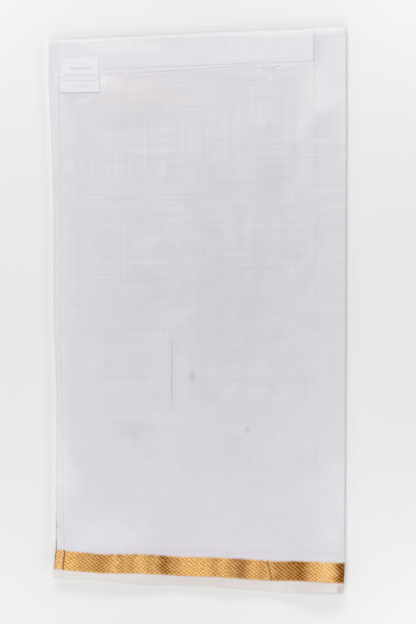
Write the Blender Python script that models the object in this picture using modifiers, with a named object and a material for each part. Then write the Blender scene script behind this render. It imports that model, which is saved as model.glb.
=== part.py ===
"""A white cotton dhoti with a woven gold border, folded into a flat packet and laid down.

The packet lies on the plane z = 0, with +X along the borders, +Y towards the fold at its head
and +Z up. Its origin is the middle of its underside. Every length below is in millimetres, and
new_piece() turns them into metres.

The cloth is one sheet. Its cut end is turned up into a hem at the left, it runs right as the
front ply, turns round the fold at the right side and comes back to the left as the ply below.
The body cloth, the gold border and the selvedge are three lengths of that one sheet. The other
folded plies are one rounded solid under it, with its folds stacked at the sides.
"""
import math

import bmesh
import bpy
import numpy as np

MM = 0.001

# Thickness of the cloth walls, and the gap that keeps neighbouring pieces apart.
WALL = 1.0
GAP = 0.3
REST_GAP = 0.4

# Line of the fold at the head of the packet: its height at the middle, its slope and its bow.
HEAD_Y = 317.2
HEAD_SLOPE = 0.0454
HEAD_BOW = 0.75
HALF_WIDTH = 171.6

# Lines that cross the packet near its foot, from left to right: the head and the foot of the
# gold border, and the loose edge of the selvedge. Each is a y.
FOOT_LINES = np.array(
    [
        (-172.0, -275.0, -297.0, -307.2),
        (-140.0, -278.3, -300.0, -308.0),
        (-105.0, -280.8, -301.6, -309.2),
        (-68.0, -281.3, -302.6, -314.6),
        (-20.0, -283.9, -304.8, -316.8),
        (26.0, -285.7, -306.9, -318.3),
        (72.0, -287.8, -309.6, -322.4),
        (118.0, -289.6, -311.6, -324.4),
        (172.0, -291.3, -314.4, -324.9),
    ],
    dtype=[("x", float), ("border_head", float), ("border_foot", float), ("loose_edge", float)],
)

# The packet's sides, from foot to head: the turned edge at the left, the inner edge of the hem
# turned up there, and the fold at the right. Each is an x.
SIDE_LINES = np.array(
    [
        (-326.0, -166.0, -152.0, 167.4),
        (-305.0, -166.0, -152.0, 168.8),
        (-285.0, -164.5, -152.4, 169.9),
        (-265.0, -162.5, -154.2, 169.9),
        (-110.0, -162.5, -155.6, 170.3),
        (0.0, -165.6, -157.2, 170.9),
        (130.0, -166.1, -157.4, 171.1),
        (205.0, -168.8, -159.4, 171.5),
        (260.0, -171.4, -161.2, 171.6),
        (326.0, -171.6, -162.6, 171.4),
    ],
    dtype=[("y", float), ("left", float), ("hem", float), ("right", float)],
)

# How far the front ply stands off the ply below it along the border, and along its loose edge.
# It is raised at the left corner, low in the middle, and a loose loop at the right corner.
FOOT_WAVES = np.array(
    [
        (-172.0, 2.6, 1.2),
        (-140.0, 3.0, 1.8),
        (-110.0, 2.3, 1.4),
        (-84.0, 2.8, 1.9),
        (-58.0, 2.3, 1.0),
        (-38.0, 0.7, 0.2),
        (-10.0, 0.5, 0.1),
        (20.0, 0.6, 0.2),
        (46.0, 0.1, 0.0),
        (75.0, 0.0, 0.1),
        (98.0, 1.1, 1.4),
        (115.0, 3.4, 3.6),
        (132.0, 4.8, 4.9),
        (155.0, 5.1, 5.2),
        (172.0, 4.9, 5.0),
    ],
    dtype=[("x", float), ("border", float), ("loose_edge", float)],
)
WAVE_START_Y = -150.0
WAVE_FULL_Y = -300.0

# Height of the folded plies under the sheet: over most of the packet, what the fold at the head
# adds, what is missing over the border, and how far short of the loose edge they end.
CORE_HEIGHT = 3.3
HEAD_THICKENING = 0.5
HEAD_THICK_LENGTH = 70.0
FOOT_THINNING = 1.1
FOOT_THIN_LENGTH = 170.0
CORE_FOOT_INSET = 12.0
DROOP_LENGTH = 14.0

# The edge of a ply inside shows as a low step down the front, near the right side.
STEP_X_HEAD = 139.0
STEP_X_FOOT = 140.0
STEP_RISE = 0.35
STEP_WIDTH = 6.0

# The head of the front ply rolls down over the plies below it, but not at the hem or at the fold.
LIP_LENGTH = 2.6
LIP_DROP = 1.1
LIP_CLEAR = 3.4
LIP_LEFT_START = -161.0
LIP_LEFT_FULL = -145.0
LIP_RIGHT_FULL = 135.0
LIP_RIGHT_END = 160.0

# The returning ply ends this much higher than the front one at the left. Along the lower half of
# the left edge it also shows this much outside it.
BACK_RISE = 10.0
BACK_OUTSIDE = 1.2
BACK_OUTSIDE_START_Y = 0.0
BACK_OUTSIDE_FULL_Y = -100.0

# The folds stacked at the packet's sides, from the lowest up: how far each is set in.
STACKED_FOLDS = np.array(
    [
        (1.0, 3.2, 2.6, 1.0),
        (3.0, 2.2, 3.6, 3.5),
        (1.6, 3.6, 2.4, 0.4),
        (2.2, 2.6, 3.2, 2.4),
    ],
    dtype=[("left", float), ("right", float), ("head", float), ("foot", float)],
)
FOLD_GROOVE = 0.7
CORNER_PULL = 2.0

# Waist strip: a doubled strip sewn along the head, and the label sewn over its lower left.
STRIP_LEFT = -161.0
STRIP_RIGHT = 131.6
STRIP_HEAD_INSET = 3.0
STRIP_DEPTH = 41.0
STRIP_DEPTH_END = 37.6
STRIP_NARROWS_FROM = 50.0
LABEL_LEFT = -157.6
LABEL_RIGHT = -113.6
LABEL_HEAD = 291.2
LABEL_FOOT = 249.2
LABEL_STEP_START = 2.0
LABEL_STEP_LENGTH = 5.0

# How finely each stretch of the sheet is divided.
HEM_CELLS = 2
TURN_CELLS = 5
FRONT_CELLS = 26
FOLD_CELLS = 7
BACK_CELLS = 9
BODY_CELLS = 22
BORDER_CELLS = 4
SELVEDGE_CELLS = 4


def smooth_step(start, end, value):
    """Rise from 0 at start to 1 at end, level at both ends."""
    share = np.clip((value - start) / (end - start), 0.0, 1.0)
    return share * share * (3.0 - 2.0 * share)


def blend(first, second, share):
    """Mix two values: the first at share 0, the second at share 1."""
    return first + (second - first) * share


def along(table, column, place):
    """Read a column of a table at any place, on a smooth curve through its rows.

    Between two rows the curve is the cubic with their values and their central slopes.
    """
    knots = table[table.dtype.names[0]]
    values = table[column]
    slopes = np.gradient(values, knots)
    place = np.clip(place, knots[0], knots[-1])
    row = np.clip(np.searchsorted(knots, place, side="right") - 1, 0, len(knots) - 2)
    span = knots[row + 1] - knots[row]
    share = (place - knots[row]) / span
    rest = 1.0 - share
    ends = values[row] * rest * rest * (1.0 + 2.0 * share)
    ends += values[row + 1] * share * share * (3.0 - 2.0 * share)
    bends = span * share * rest * (slopes[row] * rest - slopes[row + 1] * share)
    return ends + bends


def dense_ends(cells, density):
    """Shares from 0 to 1 that crowd towards both ends, more so as density nears 1."""
    even = np.linspace(0.0, 1.0, cells + 1)
    return even - density * np.sin(2.0 * math.pi * even) / (2.0 * math.pi)


def head_line(x):
    """The fold at the head of the packet: a slightly bowed line."""
    return HEAD_Y + HEAD_SLOPE * x + HEAD_BOW * (1.0 - (x / HALF_WIDTH) ** 2)


def core_foot(x):
    """Where the folded plies end, short of the loose edge."""
    return along(FOOT_LINES, "loose_edge", x) + CORE_FOOT_INSET


def core_height(x, y):
    """Top of the folded plies: thicker at the head, thinner at the foot, and nothing past it."""
    foot = core_foot(x)
    head = head_line(x)
    height = CORE_HEIGHT + HEAD_THICKENING * smooth_step(head - HEAD_THICK_LENGTH, head, y)
    height = height - FOOT_THINNING * smooth_step(foot + FOOT_THIN_LENGTH, foot, y)
    return height * (1.0 - smooth_step(foot + 3.0, foot + 3.0 - DROOP_LENGTH, y))


def stand_off(x, y):
    """Gap between the front ply and the one below: the foot's waves and the step down the front."""
    near_edge = smooth_step(WAVE_FULL_Y, WAVE_FULL_Y - 20.0, y)
    wave = blend(along(FOOT_WAVES, "border", x), along(FOOT_WAVES, "loose_edge", x), near_edge)
    reach = smooth_step(WAVE_START_Y, WAVE_FULL_Y, y) ** 1.5
    step_x = blend(STEP_X_HEAD, STEP_X_FOOT, (HEAD_Y - y) / (2.0 * HEAD_Y))
    step = STEP_RISE * smooth_step(step_x - STEP_WIDTH / 2.0, step_x + STEP_WIDTH / 2.0, x)
    loose = GAP * smooth_step(WAVE_START_Y, WAVE_FULL_Y, y)
    return GAP + loose + step + wave * reach


def back_height(x, y):
    """Middle of the wall of the ply that returns under the front."""
    return core_height(x, y) + REST_GAP + WALL / 2.0


def lip_share(x):
    """How much of the rolled head is there: all of it, fading out at the hem and at the fold."""
    left = smooth_step(LIP_LEFT_START, LIP_LEFT_FULL, x)
    return left * smooth_step(LIP_RIGHT_END, LIP_RIGHT_FULL, x)


def front_height(x, y):
    """Middle of the wall of the front ply."""
    roll = np.clip(1.0 - (head_line(x) - y) / LIP_LENGTH, 0.0, 1.0)
    drop = LIP_DROP * lip_share(x) * (1.0 - np.sqrt(1.0 - roll * roll))
    return back_height(x, y) + WALL + stand_off(x, y) - drop


def sheet_columns(row_y):
    """Points of one length of the folded sheet, as a grid of rows by columns.

    row_y(x) gives the y of every row at x. A row starts at the inner edge of the hem, turns
    round the left edge, runs along the front, turns round the right fold and comes back below.
    Both turns are half circles whose radius is half the distance between their two plies.
    """
    hem_share = np.linspace(1.0, 0.0, HEM_CELLS + 1)[:-1]
    turn_angle = np.linspace(math.pi / 2.0, -math.pi / 2.0, TURN_CELLS + 1)[:-1]
    front_share = dense_ends(FRONT_CELLS, 0.55)
    fold_angle = np.linspace(math.pi / 2.0, -math.pi / 2.0, FOLD_CELLS + 1)[1:]
    back_share = dense_ends(BACK_CELLS, 0.7)[1:]

    turn_radius = (WALL + GAP) / 2.0
    guess = blend(-HALF_WIDTH, HALF_WIDTH, front_share)
    y = row_y(guess)
    left = along(SIDE_LINES, "left", y) + WALL / 2.0 + turn_radius
    right = along(SIDE_LINES, "right", y) - WALL / 2.0
    radius = (WALL + stand_off(right - 3.0, y)) / 2.0
    front_x = blend(left, right - radius, front_share)
    front = np.stack([front_x, y, front_height(front_x, y)], axis=2)

    start = front[:, :1]
    hem_edge = along(SIDE_LINES, "hem", start[..., 1])
    hem_x = blend(start[..., 0], hem_edge, hem_share)
    hem_y = np.broadcast_to(start[..., 1], hem_x.shape)
    hem = np.stack([hem_x, hem_y, front_height(hem_x, hem_y) + WALL + GAP], axis=2)

    turn_x = start[..., 0] - turn_radius * np.cos(turn_angle)
    turn_z = start[..., 2] + turn_radius * (1.0 + np.sin(turn_angle))
    turn = np.stack([turn_x, np.broadcast_to(start[..., 1], turn_x.shape), turn_z], axis=2)

    end = front[:, -1:]
    below = back_height(end[..., 0], end[..., 1])
    fold_radius = (end[..., 2] - below) / 2.0
    fold_x = end[..., 0] + fold_radius * np.cos(fold_angle)
    fold_z = below + fold_radius * (1.0 + np.sin(fold_angle))
    fold = np.stack([fold_x, np.broadcast_to(end[..., 1], fold_x.shape), fold_z], axis=2)

    back_guess = blend(HALF_WIDTH, -HALF_WIDTH, back_share)
    back_y = row_y(back_guess) + BACK_RISE * back_share
    outside = BACK_OUTSIDE * smooth_step(BACK_OUTSIDE_START_Y, BACK_OUTSIDE_FULL_Y, back_y)
    back_left = along(SIDE_LINES, "left", back_y) + WALL / 2.0 - outside
    back_x = blend(end[..., 0], back_left, back_share)
    ceiling = head_line(back_x) - LIP_CLEAR * lip_share(back_x)
    back_y = ceiling - smooth_floor(ceiling - back_y)
    back = np.stack([back_x, back_y, back_height(back_x, back_y)], axis=2)
    return np.concatenate([hem, turn, front, fold, back], axis=1)


def smooth_floor(depth):
    """Keep a depth from falling below zero, with the rows near zero crowded but in order."""
    crowd = 6.0
    return np.where(depth > crowd, depth, crowd * np.exp((depth - crowd) / crowd * 0.5))


def new_material(name, colour, roughness, metallic):
    """Give a piece its own Principled material."""
    material = bpy.data.materials.new(name)
    material.use_nodes = True
    shader = material.node_tree.nodes["Principled BSDF"]
    shader.inputs["Base Color"].default_value = (*colour, 1.0)
    shader.inputs["Roughness"].default_value = roughness
    shader.inputs["Metallic"].default_value = metallic
    return material


def new_piece(name, points, faces, material):
    """Make an object from points in millimetres, in the packet's collection."""
    mesh = bpy.data.meshes.new(name)
    mesh.from_pydata((points * MM).tolist(), [], faces)
    mesh.materials.append(material)
    mesh.update()
    mesh.shade_smooth()
    mesh.set_sharp_from_angle(angle=math.radians(40.0))
    piece = bpy.data.objects.new(name, mesh)
    PACKET.objects.link(piece)
    return piece


def grid_faces(rows, columns):
    """Quads of a grid of points, as indices into its flattened list."""
    corner = (np.arange(rows - 1)[:, None] * columns + np.arange(columns - 1)[None, :]).ravel()
    return np.stack([corner, corner + 1, corner + columns + 1, corner + columns], axis=1).tolist()


def cloth_wall(name, points, material):
    """Make a grid of points the middle of a wall of cloth."""
    rows, columns, _ = points.shape
    piece = new_piece(name, points.reshape(-1, 3), grid_faces(rows, columns), material)
    wall = piece.modifiers.new("wall", "SOLIDIFY")
    wall.thickness = WALL * MM
    wall.offset = 0.0
    wall.use_even_offset = True
    return piece


def clear_scene():
    """Remove every object that the file starts with."""
    for thing in list(bpy.data.objects):
        bpy.data.objects.remove(thing, do_unlink=True)


def make_body_cloth():
    """Body cloth, from the rolled head down to the seam with the border."""
    roll = LIP_LENGTH * np.array([0.0, 0.12, 0.4])
    share = dense_ends(BODY_CELLS, 0.75)

    def row_y(x):
        head = head_line(x)
        foot = along(FOOT_LINES, "border_head", x) + GAP / 2.0
        start = head - LIP_LENGTH
        rolled = head - roll[:, None]
        return np.concatenate([rolled, blend(start, foot, share[:, None])])

    points = sheet_columns(row_y)
    cloth_wall("body_cloth", points, new_material("white_cotton", (0.70, 0.69, 0.72), 0.9, 0.0))


def make_border():
    """Gold border, woven into the sheet between the body cloth and the selvedge."""
    share = np.linspace(0.0, 1.0, BORDER_CELLS + 1)

    def row_y(x):
        head = along(FOOT_LINES, "border_head", x) - GAP / 2.0
        foot = along(FOOT_LINES, "border_foot", x) + GAP / 2.0
        return blend(head, foot, share[:, None])

    points = sheet_columns(row_y)
    cloth_wall("gold_border", points, new_material("gold_zari", (0.62, 0.36, 0.13), 0.35, 0.9))


def make_selvedge():
    """Plain strip between the gold border and the sheet's loose edge."""
    share = np.linspace(0.0, 1.0, SELVEDGE_CELLS + 1)

    def row_y(x):
        head = along(FOOT_LINES, "border_foot", x) - GAP / 2.0
        foot = along(FOOT_LINES, "loose_edge", x)
        return blend(head, foot, share[:, None])

    points = sheet_columns(row_y)
    cloth_wall("selvedge", points, new_material("white_selvedge", (0.75, 0.73, 0.73), 0.9, 0.0))


def strip_foot(x):
    """Lower edge of the waist strip, which narrows a little towards its right end."""
    narrower = smooth_step(STRIP_NARROWS_FROM, STRIP_RIGHT, x)
    return head_line(x) - blend(STRIP_DEPTH, STRIP_DEPTH_END, narrower)


def make_waist_strip():
    """Strip sewn on along the head, from the front ply's own heights moved out."""
    x = np.linspace(STRIP_LEFT, STRIP_RIGHT, 21)
    share = np.linspace(0.0, 1.0, 6)[:, None]
    y = blend(head_line(x) - STRIP_HEAD_INSET, strip_foot(x), share)
    x = np.broadcast_to(x, y.shape)
    z = front_height(x, y) + WALL + GAP
    points = np.stack([x, y, z], axis=2)[:, ::-1]
    material = new_material("doubled_cotton", (0.76, 0.75, 0.78), 0.9, 0.0)
    cloth_wall("waist_strip", points, material)


def make_label():
    """Label sewn half on the waist strip and half on the body cloth, with a soft step between."""
    x = np.linspace(LABEL_LEFT, LABEL_RIGHT, 6)
    share = np.linspace(0.0, 1.0, 13)[:, None]
    y = np.broadcast_to(blend(LABEL_HEAD, LABEL_FOOT, share), (13, 6))
    x = np.broadcast_to(x, y.shape)
    past_strip = strip_foot(x) - y
    level = smooth_step(LABEL_STEP_START + LABEL_STEP_LENGTH, LABEL_STEP_START, past_strip)
    z = front_height(x, y) + (WALL + GAP) * (1.0 + level)
    points = np.stack([x, y, z], axis=2)[:, ::-1]
    cloth_wall("label", points, new_material("white_satin", (0.85, 0.85, 0.88), 0.5, 0.0))


def make_hidden_layers():
    """The folded plies below: a flat underside, stacked folds at the sides, a shaped top.

    The top is a grid. Its border points go down the sides ring by ring, each ring set in by the
    fold it lies on, and the last ring closes on the plane z = 0.
    """
    across = dense_ends(12, 0.5)
    down = dense_ends(20, 0.5)[:, None]

    def outline(insets):
        guess = blend(-HALF_WIDTH, HALF_WIDTH, across)
        head = head_line(guess) - insets["head"]
        y = blend(head, core_foot(guess) + insets["foot"], down)
        left = along(SIDE_LINES, "left", y) + insets["left"]
        right = along(SIDE_LINES, "right", y) - insets["right"]
        x = blend(left, right, across)
        corner = (np.abs(2.0 * across - 1.0) * np.abs(2.0 * down - 1.0)) ** 24
        x = x - CORNER_PULL * corner * np.sign(x)
        y = y - CORNER_PULL * corner * np.sign(y)
        return x, y

    rows, columns = len(down), len(across)
    index = np.arange(rows * columns).reshape(rows, columns)
    rim = np.concatenate([index[0, :-1], index[:-1, -1], index[-1, :0:-1], index[:0:-1, 0]])

    top_insets = {side: STACKED_FOLDS[-1][side] + FOLD_GROOVE for side in STACKED_FOLDS.dtype.names}
    x, y = outline(top_insets)
    points = [np.stack([x, y, core_height(x, y)], axis=2).reshape(-1, 3)]
    faces = [face[::-1] for face in grid_faces(rows, columns)]

    previous = rim
    levels = [(fold, share) for fold in range(len(STACKED_FOLDS))[::-1] for share in (0.75, 0.25)]
    levels.append((0, 0.0))
    for fold, share in levels:
        groove = 0.0 if share else FOLD_GROOVE
        insets = {side: STACKED_FOLDS[fold][side] + groove for side in STACKED_FOLDS.dtype.names}
        x, y = outline(insets)
        z = core_height(x, y) * (fold + share) / len(STACKED_FOLDS)
        ring = np.stack([x, y, z], axis=2).reshape(-1, 3)[rim]
        first = sum(len(group) for group in points)
        points.append(ring)
        current = np.arange(first, first + len(rim))
        after = np.roll(current, -1)
        faces += np.stack([previous, np.roll(previous, -1), after, current], axis=1).tolist()
        previous = current
    faces.append(previous.tolist())

    material = new_material("folded_cotton", (0.66, 0.65, 0.68), 0.9, 0.0)
    piece = new_piece("hidden_layers", np.concatenate(points), faces, material)
    shell = bmesh.new()
    shell.from_mesh(piece.data)
    bmesh.ops.recalc_face_normals(shell, faces=shell.faces)
    shell.to_mesh(piece.data)
    shell.free()


clear_scene()
PACKET = bpy.data.collections.new("folded_dhoti")
bpy.context.scene.collection.children.link(PACKET)

make_hidden_layers()
make_body_cloth()
make_border()
make_selvedge()
make_waist_strip()
make_label()
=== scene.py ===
# %% [markdown]
# # A folded white dhoti with a woven gold border
# A dhoti is one long piece of thin cotton, with a border of gold thread woven into it near each
# long edge. This one is folded into a flat packet of twelve plies and laid on a table.
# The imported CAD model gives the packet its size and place: thick, plain solids. This lesson keeps
# their form and puts real cloth in their place, as thin shells with weave, creases and stitches.

import math

import bpy
import numpy as np
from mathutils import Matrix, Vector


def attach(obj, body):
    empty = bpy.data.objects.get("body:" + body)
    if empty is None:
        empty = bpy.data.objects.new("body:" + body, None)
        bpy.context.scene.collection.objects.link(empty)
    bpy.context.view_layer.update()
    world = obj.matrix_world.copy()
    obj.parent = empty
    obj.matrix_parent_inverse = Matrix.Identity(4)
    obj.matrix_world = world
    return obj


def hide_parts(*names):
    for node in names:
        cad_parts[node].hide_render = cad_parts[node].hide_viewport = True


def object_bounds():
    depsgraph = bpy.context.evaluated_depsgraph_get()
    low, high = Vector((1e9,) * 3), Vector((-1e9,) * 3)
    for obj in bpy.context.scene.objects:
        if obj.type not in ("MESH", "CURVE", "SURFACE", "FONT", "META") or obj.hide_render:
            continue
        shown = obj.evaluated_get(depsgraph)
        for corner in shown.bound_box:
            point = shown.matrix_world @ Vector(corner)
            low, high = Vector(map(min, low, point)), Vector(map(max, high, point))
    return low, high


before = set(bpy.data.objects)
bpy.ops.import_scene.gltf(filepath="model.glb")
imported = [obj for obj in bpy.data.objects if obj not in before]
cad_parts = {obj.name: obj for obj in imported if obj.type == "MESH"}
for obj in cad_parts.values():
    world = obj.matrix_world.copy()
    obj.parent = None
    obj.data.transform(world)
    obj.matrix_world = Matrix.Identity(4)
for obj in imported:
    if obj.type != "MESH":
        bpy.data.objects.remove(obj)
cad_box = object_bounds()
packet_size = [round((high - low) * 1000.0, 1) for low, high in zip(*cad_box)]
print("nodes:", ", ".join(sorted(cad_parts)))
print("packet, in millimetres:", packet_size)

# %% [markdown]
# ## Surfaces from whole arrays
# Cloth is a surface, so each piece is a grid of points that numpy works out all at once, and four
# neighbouring points make one small face. The grid's own distances, measured along its rows and
# its columns, become the UV map in metres. A weave that reads it follows the cloth round a fold.
# A subdivided plane pushed about by hand would do too, but a formula puts every edge and crease
# where it belongs, and gives the same cloth each time. Lengths are in millimetres up to the moment
# that a mesh is made.

# %% Measure a grid of points, and join it up
MM = 0.001


def cloth_distance(points):
    """Distance along the rows and down the columns of a grid, from its first corner, added up
    from the straight steps between neighbouring points."""
    steps_along = np.linalg.norm(np.diff(points, axis=1), axis=2)
    steps_down = np.linalg.norm(np.diff(points, axis=0), axis=2)
    along_rows = np.pad(np.cumsum(steps_along, axis=1), ((0, 0), (1, 0)))
    down_columns = np.pad(np.cumsum(steps_down, axis=0), ((1, 0), (0, 0)))
    return np.stack([along_rows, down_columns], axis=2)


THREAD_SLOPE = 0.028
THREAD_LEAN = 0.015


def thread_distance(points, row, column):
    """Cloth distances moved so that the threads run straight on the front: along one column the
    first distance is x less a lean, and along one row the second is a slope less y."""
    distance = cloth_distance(points)
    straight_u = points[..., 0] - THREAD_LEAN * points[..., 1]
    straight_v = THREAD_SLOPE * points[..., 0] - points[..., 1]
    u = distance[..., 0] + (straight_u - distance[..., 0])[:, column:column + 1]
    v = distance[..., 1] + (straight_v - distance[..., 1])[row:row + 1]
    return np.stack([u, v], axis=2)


def grid_quads(rows, columns):
    """The quads of a grid: each joins a point to the next one down, and the two beside them."""
    corner = (np.arange(rows - 1)[:, None] * columns + np.arange(columns - 1)[None, :]).ravel()
    return np.stack([corner, corner + columns, corner + columns + 1, corner + 1], axis=1)


# %% Make a mesh object
def new_piece(name, points, faces, distance, materials, thickness=0.0, side=0.0):
    """Make an object from flat arrays of points and cloth distances, in millimetres. A thickness
    turns the surface into a closed shell, with side -1 below it, 0 both ways or 1 above it."""
    mesh = bpy.data.meshes.new(name)
    mesh.from_pydata((points * MM).tolist(), [], faces)
    plan = mesh.uv_layers.new(name="UVMap")
    corners = np.empty(len(mesh.loops), dtype=np.int32)
    mesh.loops.foreach_get("vertex_index", corners)
    plan.data.foreach_set("uv", (distance[corners] * MM).ravel())
    mesh.shade_smooth()
    for material in materials:
        mesh.materials.append(material)
    piece = bpy.data.objects.new(name, mesh)
    bpy.context.scene.collection.objects.link(piece)
    if thickness:
        shell = piece.modifiers.new("cloth thickness", "SOLIDIFY")
        shell.thickness = thickness * MM
        shell.offset = side
    print(f"{name}: {len(points)} points")
    return piece


def cloth_piece(name, points, materials, thickness=0.0, side=0.0, anchor=(0, 0)):
    """Make one piece of cloth from a grid of points. Its threads are straight where the row and
    the column of the anchor run."""
    rows, columns, _ = points.shape
    distance = thread_distance(points, *anchor).reshape(-1, 2)
    faces = grid_quads(rows, columns).tolist()
    length, width = cloth_distance(points).max(axis=(0, 1))
    print(f"{name}: {length:.0f} x {width:.0f} mm along the cloth")
    return new_piece(name, points.reshape(-1, 3), faces, distance, materials, thickness, side)


# %% Keep a value on each point, and a material on each row
def keep_value(piece, name, values):
    """Store one number for each point of a piece, which its material can read."""
    layer = piece.data.attributes.new(name, "FLOAT", "POINT")
    layer.data.foreach_set("value", np.asarray(values, dtype=np.float32).ravel())


def paint_rows(piece, row_slots, columns):
    """Give each row of faces the material slot that is listed for it."""
    slots = np.repeat(np.asarray(row_slots, dtype=np.int32), columns - 1)
    piece.data.polygons.foreach_set("material_index", slots)


# %% [markdown]
# ## The lines of the packet
# A few short tables say where the cloth's edges run. They repeat the sizes of the CAD model, so
# each thin shell lies on its thick solid. Bezier curves drawn in the viewport could hold the same
# lines, but whole arrays of points can read a table at once, along a smooth curve between its rows.

# %% Read tables along smooth curves
def table(names, *rows):
    """A table with named columns, as a numpy record array."""
    return np.array(list(rows), dtype=[(name, float) for name in names.split()])


def along(rows, column, place):
    """Read a column of a table at any place along its first one. Between two rows the curve is
    the cubic that has their values, and slopes taken from their neighbours."""
    knots = rows[rows.dtype.names[0]]
    values = rows[column]
    slopes = np.gradient(values, knots)
    place = np.clip(place, knots[0], knots[-1])
    row = np.clip(np.searchsorted(knots, place, side="right") - 1, 0, len(knots) - 2)
    span = knots[row + 1] - knots[row]
    share = (place - knots[row]) / span
    rest = 1.0 - share
    ends = values[row] * rest * rest * (1.0 + 2.0 * share)
    ends = ends + values[row + 1] * share * share * (3.0 - 2.0 * share)
    return ends + span * share * rest * (slopes[row] * rest - slopes[row + 1] * share)


def smooth_step(start, end, value):
    """Rise from 0 at start to 1 at end, level at both ends: 3 s squared less 2 s cubed."""
    share = np.clip((value - start) / (end - start), 0.0, 1.0)
    return share * share * (3.0 - 2.0 * share)


def blend(first, second, share):
    """Mix two values: the first at share 0, the second at share 1."""
    return first + (second - first) * share


def bell(distance, width):
    """A bell curve: 1 at no distance, about a third of that one width away, and soon nothing."""
    return np.exp(-((distance / width) ** 2))


# %% Where the lines of the foot run, seen from above
foot_lines = table(
    "x border_head border_foot loose_edge",
    (-172, -274.3, -297.2, -307.2),
    (-140, -277.4, -300.3, -308),
    (-105, -279.8, -302.5, -309.2),
    (-68, -279.7, -302.8, -314.6),
    (-20, -283.1, -306, -316.8),
    (26, -284, -307.3, -318.3),
    (72, -286.8, -310.8, -322.4),
    (92, -288.2, -311.9, -323.4),
    (118, -287.7, -311.5, -324.4),
    (172, -289.6, -314.1, -324.9),
)
BORDER_WIDTH = float(np.mean(foot_lines["border_head"] - foot_lines["border_foot"]))
print(f"the gold border is {BORDER_WIDTH:.1f} mm wide")

# %% Where the two sides and the head run
HALF_WIDTH = 171.6
HEAD_Y = 318.4
HEAD_SLOPE = 0.0454
HEAD_BOW = 0.75

side_lines = table(
    "y left hem right",
    (-326, -166.3, -154.8, 167.4),
    (-298, -164.8, -154.7, 169.3),
    (-276, -161.8, -152.6, 169.9),
    (-262, -161.4, -153, 169.9),
    (-215, -161.5, -154.2, 170),
    (-110, -161.1, -155.2, 170.3),
    (0, -163.9, -156.8, 170.9),
    (130, -164.6, -156.8, 171.1),
    (205, -167, -158.4, 171.4),
    (260, -169.6, -159.8, 171.4),
    (326, -169.8, -161, 171.2),
)


def head_line(x):
    """The fold at the head of the packet: a straight, slightly bowed line."""
    return HEAD_Y + HEAD_SLOPE * x + HEAD_BOW * (1.0 - (x / HALF_WIDTH) ** 2)


print(f"the head lies {head_line(0.0):.1f} mm beyond the middle")

# %% [markdown]
# ## How high the cloth lies
# The folded plies below make a low, nearly flat block, a little thicker at the head and thinner
# at the foot. The front ply stands off it in waves along the border: raised at the left corner,
# low in the middle, and a loose loop at the right corner. Blender's cloth simulation could settle
# the plies, but so many thin ones pressed flat would slip through one another, so each height is a
# formula, and the ply above is always the higher one.

# %% Height of the folded plies below
WALL = 1.0
GAP = 0.3
REST_GAP = 0.4
CORE_HEIGHT = 3.3
HEAD_THICKENING = 0.5
HEAD_THICK_LENGTH = 70.0
FOOT_THINNING = 1.1
FOOT_THIN_LENGTH = 170.0
CORE_FOOT_INSET = 12.0
DROOP_START = 3.0
DROOP_LENGTH = 14.0
FRONT_DROOP = 0.35


def core_foot(x):
    """Where the folded plies end, short of the loose edge."""
    return along(foot_lines, "loose_edge", x) + CORE_FOOT_INSET


def core_height(x, y, droop=1.0):
    """Top of the folded plies: thicker at the head, thinner at the foot, and less past it, or
    nothing where the droop is whole."""
    foot = core_foot(x)
    head = head_line(x)
    height = CORE_HEIGHT + HEAD_THICKENING * smooth_step(head - HEAD_THICK_LENGTH, head, y)
    height = height - FOOT_THINNING * smooth_step(foot + FOOT_THIN_LENGTH, foot, y)
    start = foot + DROOP_START
    return height * (1.0 - droop * smooth_step(start, start - DROOP_LENGTH, y))


# %% How far the waves lift the foot, along the border and along the loose edge
foot_waves = table(
    "x border loose_edge",
    (-172, 3.2, 3),
    (-140, 3.7, 4.1),
    (-110, 3, 3.7),
    (-84, 3, 1.7),
    (-58, 2.1, 0.4),
    (-38, 0.7, 0.2),
    (-10, 0.5, 0.1),
    (20, 0.6, 0.2),
    (46, 0.1, 0),
    (75, 0, 0.1),
    (98, 1.1, 1.4),
    (115, 3.4, 3.6),
    (132, 4.8, 4.9),
    (155, 5.1, 5.2),
    (172, 4.9, 5),
)
print(f"the foot is lifted by up to {float(np.max(foot_waves['border'])):.1f} mm")

# %% Height of the front ply
WAVE_START_Y = -150.0
WAVE_FULL_Y = -300.0
LOOSE_EDGE_WIDTH = 20.0
STEP_X_HEAD = 139.0
STEP_X_FOOT = 140.0
STEP_RISE = 0.35
STEP_WIDTH = 6.0


def step_line(y):
    """Where the edge of a ply inside shows down the front: a nearly upright line."""
    return blend(STEP_X_HEAD, STEP_X_FOOT, (HEAD_Y - y) / (2.0 * HEAD_Y))


def stand_off(x, y):
    """Gap under the front ply: a clearance, the waves at the foot, and a step near the right."""
    near_edge = smooth_step(WAVE_FULL_Y, WAVE_FULL_Y - LOOSE_EDGE_WIDTH, y)
    wave = blend(along(foot_waves, "border", x), along(foot_waves, "loose_edge", x), near_edge)
    reach = smooth_step(WAVE_START_Y, WAVE_FULL_Y, y)
    step_x = step_line(y)
    step = STEP_RISE * smooth_step(step_x - STEP_WIDTH / 2.0, step_x + STEP_WIDTH / 2.0, x)
    return GAP + GAP * reach + step + wave * reach**1.5


def front_top(x, y):
    """Upper face of the front ply before its creases, and before it rolls over the head."""
    level = core_height(x, y, FRONT_DROOP)
    return level + REST_GAP + 2.0 * WALL + stand_off(x, y)


print(f"the front lies {float(front_top(0.0, 0.0)):.1f} mm above the table at its middle")
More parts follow.
